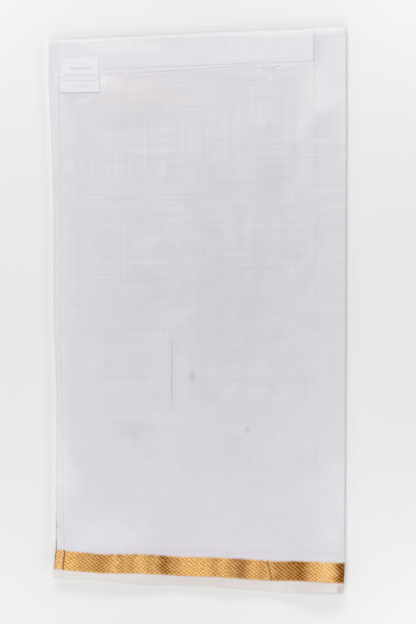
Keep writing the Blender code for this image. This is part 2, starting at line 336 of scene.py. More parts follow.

# %% [markdown]
# ## Creases
# Ironed cotton keeps a few marks: a hard pressed line, soft dents where it was handled, and
# puckers beside a seam. Each is a ridge or a trough along a short, slightly bent line. Across the
# line its height is a bell curve, and it fades out at both ends. A sculpting brush would draw them
# too, but as rows of a table, each can still be moved or made softer.

# %% Creases of the front
creases = table(
    "x0 y0 x1 y1 bow width rise",
    (-27.9, -28, -28.4, -117, -1.2, 1.2, -0.40),
    (-25.4, -29, -25.9, -112, -1, 1.7, 0.18),
    (74, -79, 98, -99, 0.8, 1.8, -0.45),
    (72, -88, 97, -108, 1.5, 2.6, 0.30),
    (-162, 240, -114, 250, 1, 2.6, 0.42),
    (-163, 234, -110, 243, 1, 2.6, -0.25),
    (-113, 240, -96, 250, 0, 2.2, 0.30),
    (76, -245, 112, -266, -4, 3.2, -0.32),
    (110, -265, 131, -278.5, -1.5, 2.6, -0.42),
    (124, -278, 171, -278.6, -0.6, 2.6, -0.50),
    (128, -273.5, 171, -273.5, -0.6, 2.2, 0.40),
    (80, -267, 171, -264, 1.5, 4.5, -0.35),
    (70, -240, 112, -262, 4, 9, -0.55),
    (-118, -267, -84, -262, 2, 5, 0.42),
    (-118, -274.5, -84, -269.5, 2, 4.5, -0.38),
    (-52, -128, -112, -214, 6, 13, -0.60),
    (-96, -131, -50, -147, 2, 3.5, -0.22),
    (170, 252, 108, 196, -6, 11, 0.75),
    (172, 205, 150, 120, 4, 9, -0.35),
    (-158, 175, -138, 154, 0, 1.6, 0.22),
    (-140, 175, -156, 153, 0, 1.6, 0.22),
    (68, 276.5, 96, 280.5, -1, 1.8, 0.40),
    (84, 268, 112, 276, -1, 2.4, -0.25),
    (79.6, -286, 85.8, -313, 0.6, 0.75, -0.45),
)
print(len(creases), "creases on the front")

# %% Ridges and troughs along bent lines
def crease_relief(rows, x, y):
    """Sum of ridges and troughs: the rise times a bell curve of the distance from a bent line,
    times a share that falls smoothly to nothing at the line's two ends."""
    relief = np.zeros(np.broadcast(x, y).shape)
    for row in rows:
        span_x, span_y = row["x1"] - row["x0"], row["y1"] - row["y0"]
        length = math.hypot(span_x, span_y)
        share = ((x - row["x0"]) * span_x + (y - row["y0"]) * span_y) / length**2
        aside = ((y - row["y0"]) * span_x - (x - row["x0"]) * span_y) / length
        inside = np.clip(share, 0.0, 1.0)
        aside = aside - row["bow"] * 4.0 * inside * (1.0 - inside)
        fade = smooth_step(-0.08, 0.25, share) * smooth_step(1.08, 0.75, share)
        relief = relief + row["rise"] * bell(aside, row["width"]) * fade
    return relief


# %% The trough beside the step, and the slow waves of any cloth
VALLEY_LEFT = 134.3
VALLEY_RIGHT = 139.8
VALLEY_EDGE = 1.6
VALLEY_DEPTH_HEAD = 0.60
VALLEY_DEPTH_REST = 0.28
VALLEY_DEEPENS_Y = (225.0, 275.0)
VALLEY_FOOT_Y = (-270.0, -200.0)
VALLEY_HEAD_Y = (323.2, 313.2)


def valley(x, y):
    """The flat trough left of the step near the right side: deep beside the waist strip, then
    faint. Each of its two sides is a smooth step."""
    depth = blend(VALLEY_DEPTH_REST, VALLEY_DEPTH_HEAD, smooth_step(*VALLEY_DEEPENS_Y, y))
    depth = depth * smooth_step(*VALLEY_FOOT_Y, y) * smooth_step(*VALLEY_HEAD_Y, y)
    down = smooth_step(VALLEY_LEFT - VALLEY_EDGE, VALLEY_LEFT + VALLEY_EDGE, x)
    up = smooth_step(VALLEY_RIGHT - VALLEY_EDGE, VALLEY_RIGHT + VALLEY_EDGE, x)
    return -depth * (down - up)


def soft_swell(x, y):
    """Slow, shallow waves: three sines that cross one another."""
    swell = 0.16 * np.sin(x / 27.0 + 0.6 * np.sin(y / 90.0))
    swell = swell + 0.14 * np.sin(y / 41.0 + 1.3 + 0.8 * np.sin(x / 70.0))
    return swell + 0.08 * np.sin((x + y) / 19.0 + 0.5)


# %% Waves along the gold border
BORDER_WAVE_START_Y = -222.0
BORDER_WAVE_FULL_Y = -282.0

border_waves = table(
    "x rise",
    (-180, -0.4), (-160, -0.6), (-146, -0.9), (-136, -0.9), (-127, -0.3),
    (-117, 0.7), (-107, 1.4), (-96, 1.4), (-84, 1.3), (-70, 1.6),
    (-59, 1.5), (-52, 1.1), (-44, 0.5), (-37, 0.1), (-28, -0.2),
    (-10, 0.1), (16, 0.9), (36, 1.8), (42, 1.4), (49, 0.6),
    (56, 0.1), (66, 0), (84, -0.1), (98, -0.1), (108, 0.1),
    (118, 0.8), (126, 1.2), (136, 1), (152, 0.9), (180, 0.4),
)


def border_wave(x, y):
    """Rises and dips of the front along the gold border, beyond the packet's own waves; they fade
    into the body."""
    reach = smooth_step(BORDER_WAVE_START_Y, BORDER_WAVE_FULL_Y, y)
    return along(border_waves, "rise", x) * reach


# %% The shoulder of the right fold
SHOULDER_WIDTH = 11.0
SHOULDER_DROP = 1.9
SHOULDER_REACH_Y = (-200.0, -290.0)


def fold_shoulder(x, y):
    """How far the front bends down before the right fold near the foot, where the fold is wide
    and flat: a parabola that starts level."""
    share = np.clip((x - along(side_lines, "right", y)) / SHOULDER_WIDTH + 1.0, 0.0, 1.0)
    return -SHOULDER_DROP * share * share * smooth_step(*SHOULDER_REACH_Y, y)


# %% The front with all its relief
LEFT_FADE_X = (-171.0, -158.0)
RIGHT_FADE_X = (171.0, 160.0)
FOOT_FADE_Y = (-326.0, -312.0)
HEAD_FADE = 8.0


def front_face(x, y):
    """Upper face of the front ply with its creases, which die out before its edges."""
    inside = smooth_step(*RIGHT_FADE_X, x) * smooth_step(*LEFT_FADE_X, x)
    inside = inside * smooth_step(0.0, HEAD_FADE, head_line(x) - y) * smooth_step(*FOOT_FADE_Y, y)
    relief = crease_relief(creases, x, y) + valley(x, y) + soft_swell(x, y)
    return front_top(x, y) + relief * inside + border_wave(x, y) + fold_shoulder(x, y)


print(f"with its creases the front is {float(front_face(0.0, 0.0)):.1f} mm high at its middle")

# %% [markdown]
# ## Cotton, thread by thread
# Cotton cloth is white because light is scattered inside its threads, so its material is rough and
# has no mirror shine, only a little sheen from loose fibres at a low angle. What the eye reads as
# cloth is the crossing of two sets of threads, and the slubs: short stretches where one hand-spun
# or machine-spun thread is thicker. A woven picture could be laid over the mesh, but waves and
# noise need no file, never repeat, and take their sizes in millimetres. Each material below names
# what it is and how it was made.

# %% From a hex colour to the shader's own
def linear(hex_colour):
    """An sRGB hex colour as the linear colour that a shader needs."""
    channels = [int(hex_colour[place:place + 2], 16) / 255.0 for place in (1, 3, 5)]
    bright = [((c + 0.055) / 1.055) ** 2.4 if c > 0.04045 else c / 12.92 for c in channels]
    return (*bright, 1.0)


# %% Add a node, with its settings and its links
def set_inputs(material, node, inputs):
    """Give each socket of a node, by name or number, a value or the socket that feeds it. A node
    in place of a socket stands for its first output."""
    for socket, value in dict(inputs).items():
        if isinstance(value, bpy.types.Node):
            value = value.outputs[0]
        if isinstance(value, bpy.types.NodeSocket):
            material.node_tree.links.new(value, node.inputs[socket])
        else:
            node.inputs[socket].default_value = value


def add_node(material, kind, inputs=(), **settings):
    """Add one node to a material, with its own settings and its inputs."""
    node = material.node_tree.nodes.new("ShaderNode" + kind)
    for name, value in settings.items():
        setattr(node, name, value)
    set_inputs(material, node, inputs)
    return node


def new_material(name, **constants):
    """A Principled material, with its constant sockets set; returns it and its shader."""
    material = bpy.data.materials.new(name)
    material.use_nodes = True
    shader = material.node_tree.nodes["Principled BSDF"]
    set_inputs(material, shader, {socket.replace("_", " "): constants[socket]
                                  for socket in constants})
    print("material:", name)
    return material, shader


# %% Threads and slubs on a piece's own UV map
THREAD_PITCH = 0.6
SLUB_LENGTH = 130.0
SLUB_PITCH = 2.8
ALONG_SLUBS_SHOWN = (0.74, 1.05)
ACROSS_SLUBS_SHOWN = (0.60, 0.75)


def thread_wave(material, uv, axis, pitch):
    """A sine across threads that lie side by side along one axis of the UV map, with one turn for
    each thread. Their pitch is in millimetres."""
    split = add_node(material, "SeparateXYZ", {0: uv})
    turns = add_node(material, "Math", {0: split.outputs[axis], 1: math.tau / (pitch * MM)},
                     operation="MULTIPLY")
    return add_node(material, "Math", {0: turns}, operation="SINE")


def woven_height(material, uv):
    """Height of a plain weave: one sine along the cloth times one across it. The threads are
    drawn about twice as coarse as fine cotton's, because they would not show otherwise."""
    waves = [thread_wave(material, uv, axis, THREAD_PITCH) for axis in "XY"]
    return add_node(material, "Math", dict(enumerate(waves)), operation="MULTIPLY")


# %% Slubs of one direction
def slub_relief(material, uv, busy, reach, shown):
    """Slubs of one direction, centred on 0: noise that reaches so many millimetres along the
    cloth and across it. A real slub is one thick thread; here it is as wide as a few threads, so
    that it shows. It is scaled by the first share shown where the cloth isn't busy, and by both
    together where it is busiest."""
    stretch = (1.0 / (reach[0] * MM), 1.0 / (reach[1] * MM), 1.0)
    place = add_node(material, "Mapping", {"Vector": uv, "Scale": stretch})
    noise = add_node(material, "TexNoise", {"Vector": place, "Scale": 1.0, "Detail": 2.0,
                     "Roughness": 0.6}, noise_dimensions="2D")
    centred = add_node(material, "Math", {0: noise, 1: 0.5}, operation="SUBTRACT")
    factor = add_node(material, "Math", {0: busy, 1: shown[1], 2: shown[0]},
                      operation="MULTIPLY_ADD")
    return add_node(material, "Math", {0: centred, 1: factor}, operation="MULTIPLY")


# %% Soft spots, and mixing in a shade
def soft_spot(material, place, centre, size, ragged):
    """1 at the centre of an ellipse of the given half sizes, falling smoothly to 0 at its edge.
    Centre and half sizes are in millimetres, seen from above, and ragged moves the edge."""
    away = add_node(material, "VectorMath", {0: place, 1: (-centre[0] * MM, -centre[1] * MM, 0.0)},
                    operation="ADD")
    shares = (1.0 / (size[0] * MM), 1.0 / (size[1] * MM), 0.0)
    scaled = add_node(material, "VectorMath", {0: away, 1: shares, 2: ragged},
                      operation="MULTIPLY_ADD")
    reach = add_node(material, "VectorMath", {0: scaled}, operation="LENGTH")
    return add_node(material, "MapRange", {"Value": reach.outputs["Value"], "From Min": 1.0,
                    "From Max": 0.0}, interpolation_type="SMOOTHSTEP")


def tint(material, colour, shade, strength, share):
    """Mix a shade into a colour, by a share from 0 to 1 times a strength."""
    amount = add_node(material, "Math", {0: share, 1: strength}, operation="MULTIPLY")
    return add_node(material, "MixRGB", {"Fac": amount, "Color1": colour, "Color2": linear(shade)})


# %% Ragged edges for the soft spots
RAGGED = 26.0


def ragged_edges(material, place):
    """Noise centred on 0 that moves the edge of each soft spot, so that none is a clean
    ellipse. Its grain is in millimetres."""
    uneven = add_node(material, "TexNoise", {"Vector": place, "Scale": 1.0 / (RAGGED * MM),
                      "Detail": 3.0})
    centred = add_node(material, "VectorMath", {0: uneven.outputs["Color"], 1: (-0.5,) * 3},
                       operation="ADD")
    return add_node(material, "VectorMath", {0: centred, 1: (1.3, 1.3, 0.0)},
                    operation="MULTIPLY")


# %% One cotton material
# Washed and ironed patches are about 45 mm wide, so 22 of them go into a metre.
MOTTLES_PER_METRE = 22.0
SLUB_RANGE = 0.4
UNEVEN_YARN_CENTRE = (25.0, 110.0)
UNEVEN_YARN_SIZE = (330.0, 280.0)
# Colours of painted shade and painted light, mixed in along lines by an attribute.
PAINTED_SHADE_COLOUR = "#a9a6ae"
PAINTED_LIGHT_COLOUR = "#fbfbff"


def cotton(name, light, dark, bump, spots=()):
    """Plain-woven cotton: two near shades mixed by the slubs of both directions, raised threads
    and slubs, and a slow mottle where the cloth was washed and ironed unevenly. The yarn is more
    uneven in the upper half, so its slubs show more there. Each spot is a soft, ragged patch of
    another shade: some are painted shade and some painted light, the others tints and stains. Its
    painted shade and light attribute is above 0 where painted shade greys the cloth along creases,
    seams and edges, and below 0 where painted light whitens it along ridges and rims."""
    material, shader = new_material(name, Roughness=0.88, Sheen_Weight=0.12, Sheen_Roughness=0.5,
                                    Specular_IOR_Level=0.25)
    uv = add_node(material, "UVMap", uv_map="UVMap")
    place = add_node(material, "TexCoord").outputs["Object"]
    busy = soft_spot(material, place, UNEVEN_YARN_CENTRE, UNEVEN_YARN_SIZE, (0.0, 0.0, 0.0))
    along_slubs = slub_relief(material, uv, busy, (SLUB_LENGTH, SLUB_PITCH), ALONG_SLUBS_SHOWN)
    across_slubs = slub_relief(material, uv, busy, (SLUB_PITCH, SLUB_LENGTH), ACROSS_SLUBS_SHOWN)
    slubs = add_node(material, "Math", {0: along_slubs, 1: across_slubs}, operation="ADD")
    shown = add_node(material, "MapRange", {"Value": slubs, "From Min": -SLUB_RANGE,
                     "From Max": SLUB_RANGE})
    colour = add_node(material, "MixRGB", {"Fac": shown, "Color1": linear(dark),
                      "Color2": linear(light)})
    mottle = add_node(material, "TexNoise", {"Vector": place, "Scale": MOTTLES_PER_METRE,
                      "Detail": 3.0})
    patches = add_node(material, "MapRange", {"Value": mottle, "From Min": 0.45,
                       "From Max": 0.75})
    colour = tint(material, colour, dark, 0.5, patches)
    edges = ragged_edges(material, place)
    for shade, strength, centre, size in spots:
        spot = soft_spot(material, place, centre, size, edges)
        colour = tint(material, colour, shade, strength, spot)
    # Painted shade greys the cloth where the attribute is above 0; painted light whitens it below
    # 0.
    painted_shade_and_light = add_node(material, "Attribute", attribute_name="painted_shade_and_light").outputs["Fac"]
    painted_light_share = add_node(material, "MapRange", {"Value": painted_shade_and_light, "From Min": 0.0, "From Max": -1.0})
    colour = tint(material, colour, PAINTED_SHADE_COLOUR, 1.0, painted_shade_and_light)
    colour = tint(material, colour, PAINTED_LIGHT_COLOUR, 1.0, painted_light_share)
    height = add_node(material, "Math", {0: woven_height(material, uv), 1: 0.25, 2: slubs},
                      operation="MULTIPLY_ADD")
    relief = add_node(material, "Bump", {"Height": height, "Distance": bump * MM,
                      "Strength": 0.8})
    set_inputs(material, shader, {"Base Color": colour, "Normal": relief})
    return material


# %% Tints of the body cloth: painted shade and painted light, pinkish tints, and small stains
cloth_spots = (
    # Painted shade: greyer in the middle, and in broad soft patches.
    ("#d2d1d5", 0.46, (36, 20), (135, 235)),
    ("#cdccce", 0.22, (-74, -10), (60, 190)),
    ("#c9c7c9", 0.30, (-72, -138), (36, 20)),
    ("#cdccce", 0.22, (-66, 222), (50, 34)),
    ("#cdccce", 0.26, (88, 160), (34, 90)),
    ("#cdccd0", 0.16, (40, -160), (110, 60)),
    # A lavender tint towards the foot.
    ("#e2e0ec", 0.40, (0, -235), (260, 110)),
    # Painted light: whiter towards the head, down the right side and the hem, and near the foot.
    ("#fdfcff", 0.26, (168, 300), (60, 75)),
    ("#fdfcff", 0.34, (180, 215), (40, 110)),
    ("#ffffff", 0.34, (136, 250), (30, 50)),
    ("#ffffff", 0.55, (152, 323), (34, 9)),
    ("#fdfcff", 0.22, (-162, 260), (28, 190)),
    ("#fdfcff", 0.24, (-162, -20), (24, 330)),
    ("#fdfcff", 0.40, (-158, -190), (28, 90)),
    ("#fbfcff", 0.26, (-110, -262), (80, 50)),
    ("#fbfcff", 0.26, (166, -220), (50, 130)),
    # Pinkish tints below the waist strip.
    ("#efe0dc", 0.50, (-90, 243), (36, 15)),
    ("#ecdfdd", 0.50, (-38, 243), (40, 15)),
    ("#f7eaec", 0.40, (-70, 257), (46, 18)),
    # Painted light beside the label and at the left edge.
    ("#fff8f8", 0.45, (-101, 262), (20, 15)),
    ("#fffdfb", 0.50, (-109, 262), (8, 17)),
    ("#ffffff", 0.36, (-161, 268), (5, 15)),
    # A pinkish band above the gold border.
    ("#e9d8dc", 0.40, (-60, -279), (150, 8)),
    # Two small grey stains.
    ("#8f8d91", 0.26, (-5.5, -75.3), (4.4, 9.6)),
    ("#8f8d91", 0.27, (58.3, -138.8), (4, 6.2)),
)
# A beige line of painted shade along the head, where the cloth rolls over its fold.
painted_head_shade = tuple(("#d6c9b2", 0.42, (place, head_line(place) + 0.7), (60.0, 2.6))
                    for place in (-150.0, -90.0, -30.0, 30.0, 90.0, 150.0))
print(len(cloth_spots), "soft spots, and", len(painted_head_shade), "along the head")

# %% Cotton in its four finishes
# Bleached, washed and ironed: a matt, cool white, with painted shade in its hollows and creases
# and painted light along its ridges.
body_cotton = cotton("plain_woven_bleached_cotton", "#eae8ec", "#e1dfe3", 0.08,
                     cloth_spots + painted_head_shade)
strip_spots = (
    ("#efe2c6", 0.28, (-158, 305), (7, 7)),
    ("#f2ead8", 0.16, (-126, 303.5), (34, 3)),
    # Painted light along the head of the strip and towards its left.
    ("#ffffff", 0.45, (60, 320), (120, 8)),
    ("#ffffff", 0.30, (-90, 302), (75, 14)),
)
# Two layers of the same cloth: less shade comes through them, so the strip looks lighter.
strip_cotton = cotton("stitched_doubled_cotton", "#f1eff2", "#e9e6eb", 0.08, strip_spots)
selvedge_spots = (
    # Darker in the middle and towards the right, and painted shade in the open fold at the right
    # corner.
    ("#d9d0cc", 0.42, (10, -311), (120, 22)),
    ("#d4cbc8", 0.40, (130, -317), (42, 14)),
    ("#b5aca6", 0.60, (164.5, -320), (6.5, 15)),
)
# Woven closer, to hold the edge: smoother, and a warmer white.
selvedge_cotton = cotton("close_woven_selvedge_cotton", "#f0eae8", "#e8e1de", 0.06, selvedge_spots)
# The plies inside lie in one another's shade: painted shade makes them greyer, and they are rougher
# at their folds.
folded_cotton = cotton("folded_bleached_cotton", "#e6e5ea", "#dad9de", 0.10)

# %% [markdown]
# ## Gold zari
# Zari is a thread with a thin metal strip wound round it. In the border it floats over the ground
# cotton in small diamonds, so the surface is metal, in rows of tiny raised cushions with darker
# gaps. A single gold colour would look like paint, so the colour carries painted glints and dull
# stretches, painted shade in deep orange where the border slopes away from the light, and a painted
# shine where it faces the light. The metal keeps its default IOR; what changes is its colour,
# roughness and height.

# %% Sizes of the lattice and its plain edge lines
LATTICE_ALONG = 5.6
LATTICE_ACROSS = 3.8
EDGE_LINE = 1.7
HEAD_TOOTH = 1.5
FOOT_TOOTH = 0.7
TOOTH_PITCH = 2.9
# A real zari thread is about 0.3 mm thick and its glints are as fine. The thread and its painted
# glints are drawn coarser, so that they show. Worn places are a little over 1 mm long, so 900 of
# them go into a metre.
ZARI_THREAD = 0.45
GLINT = 2.2
WORN_PER_METRE = 900.0


# %% Three shades of gold across a diamond
def lattice_ramp(material, cushion, shades):
    """Three shades of gold: between the diamonds, where the ground shows and painted shade falls,
    on their flanks, and on top of them, where a painted highlight falls.
    """
    ramp = add_node(material, "ValToRGB", {"Fac": cushion})
    stops = ramp.color_ramp.elements
    stops.new(0.45)
    for stop, shade, position in zip(stops, shades, (0.0, 0.45, 0.9)):
        stop.position = position
        stop.color = linear(shade)
    return ramp


# %% Woven gold thread
def zari(name, level, painted_shade_colours):
    """Woven gold thread, in two sets of shades: a lit set for where the border lies level, and a
    darker set of painted shade for where it slopes away from the light.

    The attribute "cushion" is 1 on top of a raised diamond and 0 between diamonds. The painted
    shade and shine attribute is 0 on level cloth, 1 where painted shade darkens the border where it
    slopes away, and below 0 where a painted shine brightens metal that faces the light. The painted
    shade and light attribute is 1 where painted shade darkens a pressed crease and the drop beside
    the hem, and "white" is 1 where the ground cotton shows between the teeth of the edges, so no
    metal is there. The UV map carries the threads that run along the border. Painted glints
    brighten some stretches of the metal strip, and others are painted dull.
    """
    material, shader = new_material(name)
    uv = add_node(material, "UVMap", uv_map="UVMap")
    cushion, painted_shade_and_shine, painted_shade_and_light, white = (
        add_node(material, "Attribute", attribute_name=kept).outputs["Fac"]
        for kept in ("cushion", "painted_shade_and_shine", "painted_shade_and_light", "white"))
    glint = add_node(material, "TexNoise", {"Vector": uv, "Scale": 1.0 / (GLINT * MM),
                     "Detail": 1.0})
    bright = lattice_ramp(material, cushion, level)
    # Painted glints and dull stretches by noise, and a painted shine where the metal faces the
    # light.
    for shade, strength, source, none, full in (
            ("#ffe2ac", 0.42, glint, 0.50, 0.72),
            ("#8a5420", 0.30, glint, 0.46, 0.30),
            ("#ffe3b0", 0.45, painted_shade_and_shine, 0.0, -0.5)):
        share = add_node(material, "MapRange", {"Value": source, "From Min": none,
                         "From Max": full})
        bright = tint(material, bright, shade, strength, share)
    # Painted shade: the darker set of shades where the border slopes away from the light.
    shown = add_node(material, "MixRGB", {"Fac": painted_shade_and_shine, "Color1": bright,
                     "Color2": lattice_ramp(material, cushion, painted_shade_colours)})
    # Painted shade in a pressed crease and beside the hem.
    shown = tint(material, shown, "#7a3e0a", 1.0, painted_shade_and_light)
    colour = tint(material, shown, "#e6e1e4", 1.0, white)
    metal = add_node(material, "MapRange", {"Value": white, "To Min": 1.0, "To Max": 0.0})
    wear = add_node(material, "TexNoise", {"Vector": uv, "Scale": WORN_PER_METRE,
                    "Detail": 2.0})
    roughness = add_node(material, "MapRange", {"Value": wear, "To Min": 0.40, "To Max": 0.56})
    thread = thread_wave(material, uv, "Y", ZARI_THREAD)
    height = add_node(material, "Math", {0: thread, 1: 0.5, 2: wear}, operation="MULTIPLY_ADD")
    relief = add_node(material, "Bump", {"Height": height, "Distance": 0.04 * MM,
                      "Strength": 0.6})
    set_inputs(material, shader, {"Base Color": colour, "Metallic": metal,
                                  "Roughness": roughness, "Normal": relief})
    return material


# %% The border's face, and its paler reverse
# On its face the metal strip floats on top: painted glints, and painted shade in deep orange on
# the slopes.
gold_zari = zari("woven_gold_zari", ("#bc853f", "#d39f57", "#eec589"),
                 ("#360f00", "#793e00", "#cf8d40"))
# On its reverse the ground cotton ties the strip down: duller and more even.
gold_reverse = zari("woven_gold_zari_reverse", ("#8c5f30", "#b08044", "#d8ae70"),
                    ("#5e3812", "#8c5826", "#b8864a"))

# %% [markdown]
# ## The sheet, folded round the packet
# The top sheet is one length of cloth. Seen across the packet it starts as a hem at the left,
# turned twice so that its raw edge is hidden, then runs right as the front, turns round the fold
# at the right side, and comes back to the left underneath. Each turn is part of a circle. A flat
# outline could be extruded along the packet, but its sides aren't parallel and its foot is wavy,
# so every row is worked out where it lies. The body cloth, the gold border and the selvedge are
# three lengths of this one sheet, side by side.

# %% Sizes of the thin sheet
SHEET = 0.26
TUCK_LIFT = 0.27
HEM_LIFT = 0.54
BACK_RISE = 10.0
BACK_OUTSIDE = 1.2
BACK_CLEAR = 3.4
TUCK_CELLS = 3
INNER_CELLS = 5
HEM_CELLS = 5
TURN_CELLS = 7
FOLD_CELLS = 12
BACK_CELLS = 16
FRONT_START = TUCK_CELLS + INNER_CELLS + HEM_CELLS + TURN_CELLS
TUCK_INSET = 0.8
FOLD_INSET = 3.0
FRONT_SPAN = (-165.0, 170.0)
OUTSIDE_REACH_Y = (-205.0, -250.0)
HEAD_SOFT_DEPTH = 6.0
HEAD_SOFT_LENGTH = 12.0


# %% Places that crowd where the detail is
def graded(start, end, cells, *crowds):
    """Places from start to end, closer together where a crowd (centre, width, gain) says so: the
    spacing follows one over 1 plus the gain times a bell curve."""
    fine = np.linspace(start, end, 4000)
    density = np.ones_like(fine)
    for centre, width, gain in crowds:
        density += gain * bell(fine - centre, width)
    total = np.pad(np.cumsum((density[1:] + density[:-1]) / 2.0), (1, 0))
    return np.interp(np.linspace(0.0, total[-1], cells + 1), total, fine)


# %% The hem's edge, and how far the head rolls over
def hem_edge(y):
    """Inner edge of the hem, slightly puckered by its stitches."""
    pucker = 0.22 * np.sin(y / 3.1) + 0.18 * np.sin(y / 7.7 + 1.0)
    return along(side_lines, "hem", y) + pucker


def head_share(x):
    """How much of the roll at the head there is: all of it, fading out before the right fold."""
    return smooth_step(164.0, 138.0, x)


# %% The fold at the right
def right_fold(ply, below, cells):
    """Half a circle at the right end of a ply, from its own height down to the one below: half
    the drop times the cosine along x, and times the sine in height."""
    end_x, end_y, end_z = ply[:, -1:, 0], ply[:, -1:, 1], ply[:, -1:, 2]
    radius = (end_z - below) / 2.0
    angle = np.linspace(math.pi / 2.0, -math.pi / 2.0, cells + 1)[1:]
    fold_x = end_x + radius * np.cos(angle)
    return np.stack([fold_x, np.broadcast_to(end_y, fold_x.shape),
                     below + radius * (1.0 + np.sin(angle))], axis=2)


# %% The turned hem at the left
def turned_hem(start, start_y):
    """The four stretches that come before the front: the tucked raw edge, half a turn up, the
    hem itself, and half a turn down to where the front starts. Until that last turn they lie on
    top of the front's left edge."""
    half = SHEET / 2.0
    edge = hem_edge(start_y) - half - (HEM_LIFT - TUCK_LIFT) / 2.0

    def over_hem(x, lift):
        """Points over the front beside the left edge, at a height above it."""
        pucker = 0.10 * np.sin(start_y / 4.3) * smooth_step(start, edge, x)
        z = front_face(x, start_y) - half + lift + pucker
        return np.stack([x, np.broadcast_to(start_y, x.shape), z], axis=2)

    tuck_share = np.linspace(0.0, 1.0, TUCK_CELLS + 1)[:-1]
    tuck = over_hem(blend(start + TUCK_INSET, edge, tuck_share), TUCK_LIFT)
    inner_angle = np.linspace(-math.pi / 2.0, math.pi / 2.0, INNER_CELLS + 1)[:-1]
    inner_radius = (HEM_LIFT - TUCK_LIFT) / 2.0
    inner = over_hem(edge + inner_radius * np.cos(inner_angle),
                     TUCK_LIFT + inner_radius * (1.0 + np.sin(inner_angle)))
    hem = over_hem(blend(edge, start, np.linspace(0.0, 1.0, HEM_CELLS + 1)[:-1]), HEM_LIFT)
    turn_angle = np.linspace(math.pi / 2.0, -math.pi / 2.0, TURN_CELLS + 1)[:-1]
    turn = over_hem(start - HEM_LIFT / 2.0 * np.cos(turn_angle),
                    HEM_LIFT / 2.0 * (1.0 + np.sin(turn_angle)))
    return np.concatenate([tuck, inner, hem, turn], axis=1)


# %% The ply that returns to the left
def returning_ply(row_y, end):
    """Points from the right fold back to the left edge, on top of the folded plies. They climb a
    little towards the head, and near it they are drawn closer together so as not to reach it."""
    half = SHEET / 2.0
    share = np.linspace(0.0, 1.0, BACK_CELLS + 1)[None, 1:]
    y = row_y(blend(HALF_WIDTH, -HALF_WIDTH, share)) + BACK_RISE * share
    outside = BACK_OUTSIDE * smooth_step(*OUTSIDE_REACH_Y, y)
    x = blend(end, along(side_lines, "left", y) + half - outside, share)
    ceiling = head_line(x) - BACK_CLEAR * head_share(x)
    depth = ceiling - y
    soft_depth = HEAD_SOFT_DEPTH * np.exp((depth - HEAD_SOFT_DEPTH) / HEAD_SOFT_LENGTH)
    y = ceiling - np.where(depth > HEAD_SOFT_DEPTH, depth, soft_depth)
    return np.stack([x, y, core_height(x, y) + REST_GAP + half], axis=2)


# %% Points of one length of the sheet
def sheet_grid(row_y, front_places):
    """Points of one length of the sheet, and each one's height above the front ply. row_y(x)
    gives the y of every row at x. A row runs over the hem, along the front, round the fold and
    back."""
    places = np.asarray(front_places)[None, :]
    share = (places - places[0, 0]) / (places[0, -1] - places[0, 0])
    y = row_y(places)
    half = SHEET / 2.0
    left = along(side_lines, "left", y) + half + HEM_LIFT / 2.0
    right = along(side_lines, "right", y)
    fold_outer = (2.0 * WALL + stand_off(right - FOLD_INSET, y)) / 2.0
    front_x = blend(left, right - fold_outer, share)
    front = np.stack([front_x, y, front_face(front_x, y) - half], axis=2)
    end = front[:, -1:, 0]
    fold = right_fold(front, core_height(end, front[:, -1:, 1]) + REST_GAP + half, FOLD_CELLS)
    points = np.concatenate([turned_hem(front[:, :1, 0], front[:, :1, 1]), front, fold,
                             returning_ply(row_y, end)], axis=1)
    above = points[..., 2] - (front_face(points[..., 0], points[..., 1]) - half)
    above[:, FRONT_START:] = 0.0
    return points, above


# %% Roll the head over
ROLL_LENGTH = 1.5
ROLL_HEIGHT = 0.85
UNDER_LENGTH = 6.0


def roll_head(points, above, last_front):
    """Add rows at the head that carry the cloth over the edge, round half an ellipse, and a short
    way back under itself, as the fold along the head does. The columns past the last one of the
    front belong to the ply below and get none of it."""
    share = head_share(points[0, :, 0])[None, :]
    share = np.where(np.arange(points.shape[1]) > last_front, 0.0, share)
    length = ROLL_LENGTH * share + 0.2 + above[:1]
    height = ROLL_HEIGHT * share + 0.05 + above[:1]
    angle = np.linspace(-math.pi / 2.0, math.pi / 2.0, 11)[:-1, None]
    roll_y = points[:1, :, 1] + length * np.cos(angle)
    roll_z = points[:1, :, 2] + height * (np.sin(angle) - 1.0)
    under = (UNDER_LENGTH * share + 0.2) * np.linspace(1.0, 0.0, 4)[:-1, None]
    under_y = points[:1, :, 1] - under
    under_z = np.broadcast_to(points[:1, :, 2] - 2.0 * height, under_y.shape)
    new_y = np.concatenate([under_y, roll_y])
    new_z = np.concatenate([under_z, roll_z])
    new_x = np.broadcast_to(points[:1, :, 0], new_y.shape)
    return np.concatenate([np.stack([new_x, new_y, new_z], axis=2), points])


# %% [markdown]
# ## Body cloth
# The body cloth is the white ground of the dhoti. Its grid is closer where something small shows:
# at the waist, beside the step near the right fold, and where the hard pressed crease runs. An
# even grid as fine as that would have many times the faces. The Solidify modifier gives the cloth
# its real thickness, as a closed shell.

